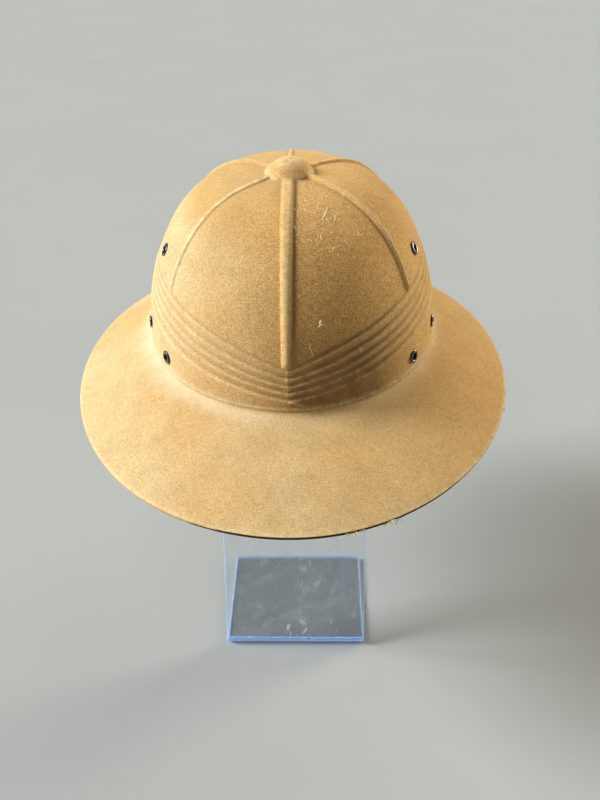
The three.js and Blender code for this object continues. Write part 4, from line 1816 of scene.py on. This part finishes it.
@dataclass(frozen=True)
class Eyelet:
    """Black tube eyelet: rolled flange outside, barrel through the wall, clinched inside."""

    flange: float = 4.15 * MM
    bore: float = 2.3 * MM
    barrel: float = 2.9 * MM
    clinch: float = 4.0 * MM
    proud: float = 0.85 * MM
    roll_at: float = 0.35 * MM
    inside: float = -4.6 * MM
    foot: float = 0.15 * MM
    clinch_at: float = 0.75 * MM
    clinch_half: float = 0.7 * MM
    barrel_end: float = 1.0 * MM
    sides: int = 48

    def profile(self, wall_relief: float) -> Array:
        """Closed outline of (radius, along) pairs.

        A half ellipse rolls over the flange, from its outer lip to the bore; the tube
        goes straight in and turns out under a smaller clinched lip.

        Args:
            wall_relief: How far the wall stands out there.

        Returns:
            The pairs, in order round the outline.
        """
        roll = np.linspace(-0.15 * math.pi, math.pi, 16)
        middle, width = (self.flange + self.bore) / 2.0, (self.flange - self.bore) / 2.0
        foot = wall_relief + self.foot
        rise = self.proud - self.roll_at
        rolled = foot + self.roll_at + rise * np.sin(roll)
        top = np.stack([middle + width * np.cos(roll), rolled], -1)
        curl = np.linspace(math.pi, 2.1 * math.pi, 10)
        middle, width = (self.clinch + self.bore) / 2.0, (self.clinch - self.bore) / 2.0
        curled = self.inside + self.clinch_at + self.clinch_half * np.sin(curl)
        low = np.stack([middle + width * np.cos(curl), curled], -1)
        end = self.inside + self.barrel_end
        under = np.array([[self.barrel, end], [self.barrel, foot]])
        return np.concatenate([top, low, under])

    def build(
        self, shell: HelmetShell, place: EyeletPlace, side: Side, enamel: bpy.types.Material
    ) -> None:
        """Turns the outline about the eyelet's axis and sets it on the frame.

        Args:
            shell: Shell it is set through.
            place: Where it sits.
            side: Which side it is on.
            enamel: Its finish.
        """
        centre, along, first, second = eyelet_axes(shell, place, side)
        outline = self.profile(place.wall_relief)
        turn = np.linspace(0.0, FULL_TURN, self.sides, endpoint=False)[:, None, None]
        ring = np.cos(turn) * first + np.sin(turn) * second
        points = centre + outline[:, :1] * ring + outline[:, 1:] * along
        across = len(outline)
        faces = ring_faces(self.sides + 1, across) % (self.sides * across)
        name = f"{place.name}_{side.name.lower()}"
        piece = build_piece(f"eyelet_{name}_rolled", points.reshape(-1, 3), [faces], [enamel])
        put_on_frame(piece, Slot.ENAMEL, f"eyelet_{name}")


# ---- stand


@dataclass(frozen=True)
class DisplayStand:
    """One clear acrylic sheet, bent once: a foot on the floor and an upright that leans."""

    width: float = 100.0 * MM
    thickness: float = 3.0 * MM
    foot_depth: float = 95.0 * MM
    lean: float = 11.6
    bend_radius: float = 4.5 * MM
    height: float = 327.0 * MM
    foot_corner: float = 3.0 * MM
    top_corner: float = 14.0 * MM
    bevel: float = 0.3 * MM
    corner_rows: int = 10
    bend_rows: int = 20

    def path(self) -> tuple[Array, Array, Array]:
        """Middle line of the sheet in (y, z), its upper side's direction and its length.

        Straight along the foot, round the bend, straight up the leaning upright.

        Returns:
            Places, directions and running lengths, from the foot's end to the top.
        """
        half = self.thickness / 2.0
        lean = math.radians(self.lean)
        middle = self.bend_radius + half
        spacing = 1.0 - np.cos(np.linspace(0.0, math.pi / 2.0, self.corner_rows))
        foot_y = self.foot_depth - spacing * self.foot_corner
        foot_y = np.concatenate([foot_y, np.linspace(foot_y[-1], middle, 6)[1:]])
        foot = np.stack([foot_y, np.full_like(foot_y, half)], -1)
        turned = np.linspace(0.0, 1.0, self.bend_rows)[1:]
        angle = -math.pi / 2.0 - (math.pi / 2.0 + lean) * turned
        bend = middle + self.bend_radius * np.stack([np.cos(angle), np.sin(angle)], -1)
        along = np.array([math.sin(lean), math.cos(lean)])
        length = (self.height - half * math.sin(lean) - bend[-1, 1]) / along[1]
        step = np.linspace(0.0, length - self.top_corner, 14)[1:]
        step = np.concatenate([step, length - self.top_corner * spacing[::-1][1:]])
        upright = bend[-1] + step[:, None] * along
        line = np.concatenate([foot, bend, upright])
        heading = unit(np.gradient(line, axis=0))
        heading[: len(foot)] = (-1.0, 0.0)
        heading[len(foot) + len(bend) :] = along
        steps = np.linalg.norm(np.diff(line, axis=0), axis=1)
        lengths = np.concatenate([[0.0], np.cumsum(steps)])
        inner = np.stack([heading[:, 1], -heading[:, 0]], -1)
        return line, inner, lengths

    def half_width(self, lengths: Array) -> Array:
        """Half the sheet's width along its length, drawn in by circles at its corners.

        Args:
            lengths: Running lengths along the sheet.

        Returns:
            Half widths.
        """
        half = np.full_like(lengths, self.width / 2.0)
        for corner, away in (
            (self.foot_corner, lengths),
            (self.top_corner, lengths[-1] - lengths),
        ):
            short = np.clip(corner - away, 0.0, corner)
            half -= corner - np.sqrt(np.maximum(corner**2 - short**2, 0.0))
        return half

    def build(self, acrylic: ClearAcrylic) -> None:
        """Carries a bevelled strip section along the path and closes its two ends.

        Args:
            acrylic: Its finish.
        """
        line, inner, lengths = self.path()
        half_width, half = self.half_width(lengths), self.thickness / 2.0
        cut = self.bevel
        inset = np.array([cut, 0.0, 0.0, cut, cut, 0.0, 0.0, cut])
        side = np.array([-1.0, -1.0, -1.0, -1.0, 1.0, 1.0, 1.0, 1.0])
        level = np.array([half, half - cut, cut - half, -half])
        level = np.concatenate([level, level[::-1]])
        across = side * (half_width[:, None] - inset)
        place = np.stack(
            [
                across,
                line[:, :1] + inner[:, :1] * level,
                line[:, 1:] + inner[:, 1:] * level,
            ],
            -1,
        )
        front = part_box("display_stand")[0].y
        place[..., 1] += front
        rows, section = place.shape[:2]
        grid = ring_faces(rows, section)
        count = rows * section
        caps = np.stack([np.arange(section)[::-1], np.arange(count - section, count)])
        sides = np.tile(np.array([1, 1, 1, 0, 1, 1, 1, 0]), (rows - 1, 1))
        start = self.corner_rows + 4
        sides[start : start + self.bend_rows * 4 // 5, 3] = 1
        piece = build_piece(
            "display_stand_acrylic",
            place.reshape(-1, 3),
            [grid, caps],
            [acrylic.faces(), acrylic.edges()],
            [sides.ravel(), np.array([1, 1])],
        )
        piece.data.shade_flat()
        put_on_frame(piece, Slot.ACRYLIC, "display_stand")


# ---- strands


STRAND_SIDES = 5


def strand_tubes(
    name: str, paths: Array, normals: Array, radius: Array, flat: Array, finish: bpy.types.Material
) -> bpy.types.Object:
    """Thin closed tubes along many short paths, their ends drawn in by sqrt(1 - x^2).

    Args:
        name: Piece name.
        paths: Places, strands by steps by three.
        normals: Directions away from the surface, of the same shape.
        radius: Radius of each strand.
        flat: How far each strand's section is flattened, 1 for round.
        finish: Material.

    Returns:
        The piece.
    """
    sides = STRAND_SIDES
    strands, steps = paths.shape[:2]
    forward = unit(np.gradient(paths, axis=1))
    across = unit(np.cross(forward, normals))
    away = np.cross(across, forward)
    turn = np.linspace(0.0, FULL_TURN, sides, endpoint=False)
    taper = np.sqrt(np.clip(1.0 - np.linspace(-0.96, 0.96, steps) ** 2, 0.0, 1.0))
    size = (radius[:, None] * taper)[..., None, None]
    cos, sin = np.cos(turn)[None, None, :, None], np.sin(turn)[None, None, :, None]
    flat = flat[:, None, None, None]
    place = paths[:, :, None] + size * cos * across[:, :, None]
    place = place + size * flat * sin * away[:, :, None]
    one = ring_faces(steps, sides)
    caps = np.stack([np.arange(sides)[::-1], np.arange((steps - 1) * sides, steps * sides)])
    shift = (np.arange(strands) * steps * sides)[:, None, None]
    faces = [(one + shift).reshape(-1, 4), (caps + shift).reshape(-1, sides)]
    return build_piece(name, place.reshape(-1, 3), faces, [finish])


@dataclass(frozen=True)
class SurfaceMark:
    """A pale thread or scratch on the crown: start, heading and length.

    The azimuth and heading are in degrees; a heading of 0 runs round towards the
    helmet's left, and 90 runs up.
    """

    azimuth: float
    rise: float
    heading: float
    length: float
    radius: float = 0.22 * MM
    curl: float = 0.0
    lift: float = 0.1 * MM
    flat: float = 0.5


@dataclass
class LooseFibres:
    """Pulled threads and short pale scratches in the crown's nap."""

    shell: HelmetShell
    marks: tuple[SurfaceMark, ...] = (
        SurfaceMark(34.0, 99.3 * MM, 226.0, 11.6 * MM, 0.34 * MM, 4.0),
        SurfaceMark(31.0, 98.0 * MM, 222.0, 6.0 * MM, 0.24 * MM, -6.0),
        SurfaceMark(12.3, 52.0 * MM, 60.0, 2.6 * MM, 0.70 * MM, 30.0, 0.4 * MM),
        SurfaceMark(13.6, 51.2 * MM, 130.0, 2.2 * MM, 0.60 * MM, 30.0, 0.4 * MM),
        SurfaceMark(11.6, 51.0 * MM, 10.0, 2.0 * MM, 0.55 * MM, 60.0, 0.4 * MM),
        SurfaceMark(8.0, 44.5 * MM, 276.0, 9.5 * MM, 0.24 * MM, 18.0, 0.1 * MM),
    )
    scattered: int = 150
    steps: int = 9
    seed: int = 907

    def scatter(self) -> tuple[SurfaceMark, ...]:
        """Seeded short threads, most of them high on the crown's left front.

        Returns:
            The scattered marks.
        """
        rng = np.random.default_rng(self.seed)
        found = []
        for index in range(self.scattered):
            near = index % 4 != 0
            azimuth = rng.uniform(4.0, 50.0) if near else rng.uniform(-180.0, 180.0)
            rise = rng.uniform(86.0, 103.5) if near else rng.uniform(30.0, 101.0)
            found.append(
                SurfaceMark(
                    azimuth,
                    rise * MM,
                    rng.uniform(0.0, 360.0),
                    rng.uniform(1.2, 4.2) * MM,
                    rng.uniform(0.12, 0.23) * MM,
                    rng.normal(0.0, 35.0),
                    rng.uniform(0.0, 0.12) * MM,
                )
            )
        return tuple(found)

    def build(self, thread: bpy.types.Material) -> None:
        """Lays every mark on the crown's skin.

        A mark's path is a run of even steps whose heading turns by the curl over its
        length; its middle stands off the cloth by the lift.

        Args:
            thread: Finish of the threads.
        """
        marks = self.marks + self.scatter()
        columns = ("azimuth", "rise", "heading", "length", "radius", "curl", "lift", "flat")
        value = {name: np.array([getattr(m, name) for m in marks]) for name in columns}
        crown = self.shell.crown
        share = np.linspace(0.0, 1.0, self.steps)
        heading = np.radians(value["heading"][:, None] + value["curl"][:, None] * share)
        step = value["length"][:, None] / (self.steps - 1)
        start = np.radians(value["azimuth"])[:, None]
        arc = crown.arc_at(value["rise"])[:, None]
        radius = crown.turn_radius(start, crown.spread_at(arc))
        azimuth = start + np.cumsum(np.cos(heading) * step, axis=1) / radius
        arc = arc + np.cumsum(np.sin(heading) * step, axis=1)
        lift = value["lift"][:, None] * np.sin(math.pi * share)
        lift = lift + 0.3 * value["radius"][:, None]
        paths = self.shell.seat.placed(self.shell.skin_point(azimuth, arc, lift))
        normals = self.shell.seat.turned(crown.normal(azimuth, arc))
        sizes = value["radius"], value["flat"]
        piece = strand_tubes("loose_fibres", paths, normals, *sizes, thread)
        put_on_frame(piece, Slot.CLOTH)


@dataclass(frozen=True)
class FrayPlace:
    """A frayed stretch of the rim: its ends in degrees, its threads and their length."""

    start: float
    end: float
    threads: int
    length: float


@dataclass
class RimFray:
    """Small curled threads where the cloth has rubbed through along the rim."""

    shell: HelmetShell
    places: tuple[FrayPlace, ...] = (
        FrayPlace(12.5, 17.5, 26, 3.2 * MM),
        FrayPlace(22.0, 26.5, 26, 3.6 * MM),
        FrayPlace(-28.0, -22.0, 5, 2.0 * MM),
        FrayPlace(70.5, 72.0, 5, 3.0 * MM),
        FrayPlace(27.0, 60.0, 9, 1.6 * MM),
        FrayPlace(150.0, 210.0, 8, 1.8 * MM),
    )
    tilt: float = 1.2
    tilt_curl: float = 2.2
    swing: float = 1.3
    swing_curl: float = 2.0
    flat: float = 0.8
    steps: int = 9
    seed: int = 411

    def build(self, thread: bpy.types.Material) -> None:
        """Sets the threads along the rim.

        Each thread starts on the rim's upper corner and curls: its heading, in the plane
        of the rim's outward and downward directions and along the rim, turns evenly.

        Args:
            thread: Finish of the threads.
        """
        rng = np.random.default_rng(self.seed)
        counts = [place.threads for place in self.places]
        total = sum(counts)
        low = np.repeat([place.start for place in self.places], counts)
        high = np.repeat([place.end for place in self.places], counts)
        reach = np.repeat([place.length for place in self.places], counts)
        azimuth = np.radians(rng.uniform(low, high))
        brim = self.shell.brim
        edge = np.ones_like(azimuth)
        out, up = brim.outward(azimuth, edge), brim.normal(azimuth, edge)
        around = np.cross(up, out)
        rim = brim.point(azimuth, edge) - up * rng.uniform(0.2, 2.2, total)[:, None] * MM
        share = np.linspace(0.0, 1.0, self.steps)
        tilt = rng.uniform(-self.tilt, self.tilt, total)[:, None]
        tilt = tilt + rng.normal(0.0, self.tilt_curl, total)[:, None] * share
        swing = rng.uniform(-self.swing, self.swing, total)[:, None]
        swing = swing + rng.normal(0.0, self.swing_curl, total)[:, None] * share
        length = reach * rng.uniform(0.45, 1.0, total)
        step = (length / (self.steps - 1))[:, None, None]
        heading = (
            (np.cos(tilt) * np.cos(swing))[..., None] * out[:, None]
            + (np.sin(tilt) * np.cos(swing))[..., None] * -up[:, None]
            + np.sin(swing)[..., None] * around[:, None]
        )
        paths = rim[:, None] - out[:, None] * 0.4 * MM + np.cumsum(heading * step, axis=1)
        normals = np.broadcast_to(up[:, None], paths.shape)
        radius = rng.uniform(0.16, 0.34, total) * MM
        seat = self.shell.seat
        paths, normals = seat.placed(paths), seat.turned(normals)
        flat = np.full(total, self.flat)
        piece = strand_tubes("rim_fray", paths, normals, radius, flat, thread)
        put_on_frame(piece, Slot.CLOTH)


@dataclass(frozen=True)
class CottonThread:
    """Bleached cotton of the pulled threads."""

    pale: Colour = (0.92, 0.78, 0.52)
    deep: Colour = (0.78, 0.58, 0.31)

    def material(self) -> bpy.types.Material:
        """Pale cotton, uneven along each thread.

        Returns:
            The finished material.
        """
        sheet = NodeSheet("cotton_thread_pale")
        sheet.set_shader(Roughness=0.9, Sheen_Weight=0.2, Specular_IOR_Level=0.2)
        tone = sheet.noise(1.5 * MM, 2.0)
        sheet.feed(
            sheet.shader.inputs["Base Color"],
            sheet.mix(sheet.spread(tone, 0.35, 0.65), self.deep, self.pale),
        )
        return sheet.material


# ---- studio


@dataclass(frozen=True)
class SunLamp:
    """A wide, soft lamp a long way off: where it stands, its strength and its tint."""

    name: str
    azimuth: float
    elevation: float
    strength: float
    width: float
    tint: Colour


@dataclass(frozen=True)
class Studio:
    """Plain pale floor, soft lamps and the camera."""

    floor_size: float = 24.0
    floor_tint: Colour = (0.42, 0.41, 0.395)
    floor_gap: float = 0.3 * MM
    sky_tint: Colour = (0.95, 0.98, 1.0)
    sky_strength: float = 0.03
    lamps: tuple[SunLamp, ...] = (
        SunLamp("key_lamp", -90.0, 32.0, 5.0, 26.0, (0.87, 0.96, 1.0)),
        SunLamp("front_lamp", -24.0, 54.0, 0.68, 40.0, (1.0, 0.94, 0.82)),
        SunLamp("side_lamp", 122.0, 14.0, 2.9, 30.0, (1.0, 0.98, 0.82)),
        SunLamp("back_lamp", 150.0, 54.0, 0.34, 36.0, (1.0, 0.96, 0.86)),
    )
    lens: float = 40.5
    sensor: float = 36.0
    stand_off: tuple[float, float, float] = (17.65 * MM, -541.0 * MM, 270.7 * MM)
    look_down: float = 31.46
    heading: float = 1.41
    roll: float = -0.88

    def build(self, middle: Array) -> None:
        """Lays the floor, hangs the lamps and sets up the camera.

        Args:
            middle: The fold's centre, which the camera stands off from.
        """
        self.lay_floor()
        scene = bpy.context.scene
        for lamp in self.lamps:
            self.hang(lamp)
        world = bpy.data.worlds.new("soft_room")
        world.use_nodes = True
        sky = world.node_tree.nodes["Background"]
        sky.inputs["Color"].default_value = (*self.sky_tint, 1.0)
        sky.inputs["Strength"].default_value = self.sky_strength
        scene.world = world
        scene.view_settings.view_transform = "Standard"
        self.set_camera(middle)

    def lay_floor(self) -> None:
        """Large flat floor of seamless matt paper, a hair under the foot."""
        half = self.floor_size / 2.0
        corners = half * np.array([[-1, -1, 0], [1, -1, 0], [1, 1, 0], [-1, 1, 0]])
        corners[:, 2] = -self.floor_gap
        mesh = bpy.data.meshes.new("studio_floor")
        mesh.from_pydata(corners.tolist(), [], [(0, 1, 2, 3)])
        sheet = NodeSheet("matt_paper")
        sheet.set_shader(Roughness=0.95, Specular_IOR_Level=0.1)
        tone = sheet.spread(sheet.noise(0.25, 3.0), 0.3, 0.7)
        deep = tuple(0.97 * channel for channel in self.floor_tint)
        sheet.feed(sheet.shader.inputs["Base Color"], sheet.mix(tone, deep, self.floor_tint))
        mesh.materials.append(sheet.material)
        floor = bpy.data.objects.new("studio_floor", mesh)
        bpy.context.scene.collection.objects.link(floor)

    @staticmethod
    def hang(lamp: SunLamp) -> None:
        """Points a wide sun at the helmet from its azimuth and elevation.

        Args:
            lamp: The lamp to hang.
        """
        light = bpy.data.lights.new(lamp.name, "SUN")
        light.energy, light.color = lamp.strength, lamp.tint
        light.angle = math.radians(lamp.width)
        holder = bpy.data.objects.new(lamp.name, light)
        turn, rise = math.radians(lamp.azimuth), math.radians(lamp.elevation)
        away = Vector(
            (math.sin(turn) * math.cos(rise), -math.cos(turn) * math.cos(rise), math.sin(rise))
        )
        holder.rotation_euler = away.to_track_quat("Z", "Y").to_euler()
        bpy.context.scene.collection.objects.link(holder)

    def set_camera(self, middle: Array) -> None:
        """Stands the camera off from the middle and turns it to look at the helmet.

        Args:
            middle: The fold's centre.
        """
        data = bpy.data.cameras.new("camera")
        data.lens, data.sensor_width = self.lens, self.sensor
        camera = bpy.data.objects.new("camera", data)
        place = Matrix.Translation(Vector(middle) + Vector(self.stand_off))
        turn = Matrix.Rotation(math.radians(self.heading), 4, "Z")
        tilt = Matrix.Rotation(math.radians(90.0 - self.look_down), 4, "X")
        roll = Matrix.Rotation(math.radians(self.roll), 4, "Z")
        camera.matrix_world = place @ turn @ tilt @ roll
        bpy.context.scene.collection.objects.link(camera)
        bpy.context.scene.camera = camera


# ---- main


def main() -> None:
    """Builds every piece around the frame and reports it."""
    logging.basicConfig(level=logging.INFO, format="%(message)s")
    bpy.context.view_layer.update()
    shell = HelmetShell()
    Studio().build(shell.seat.origin())
    shell.build()
    enamel = BlackEnamel().material()
    for place in EYELET_PLACES:
        for side in Side:
            Eyelet().build(shell, place, side, enamel)
    DisplayStand().build(ClearAcrylic())
    thread = CottonThread().material()
    LooseFibres(shell).build(thread)
    RimFray(shell).build(thread)


if __name__ == "__main__":
    main()
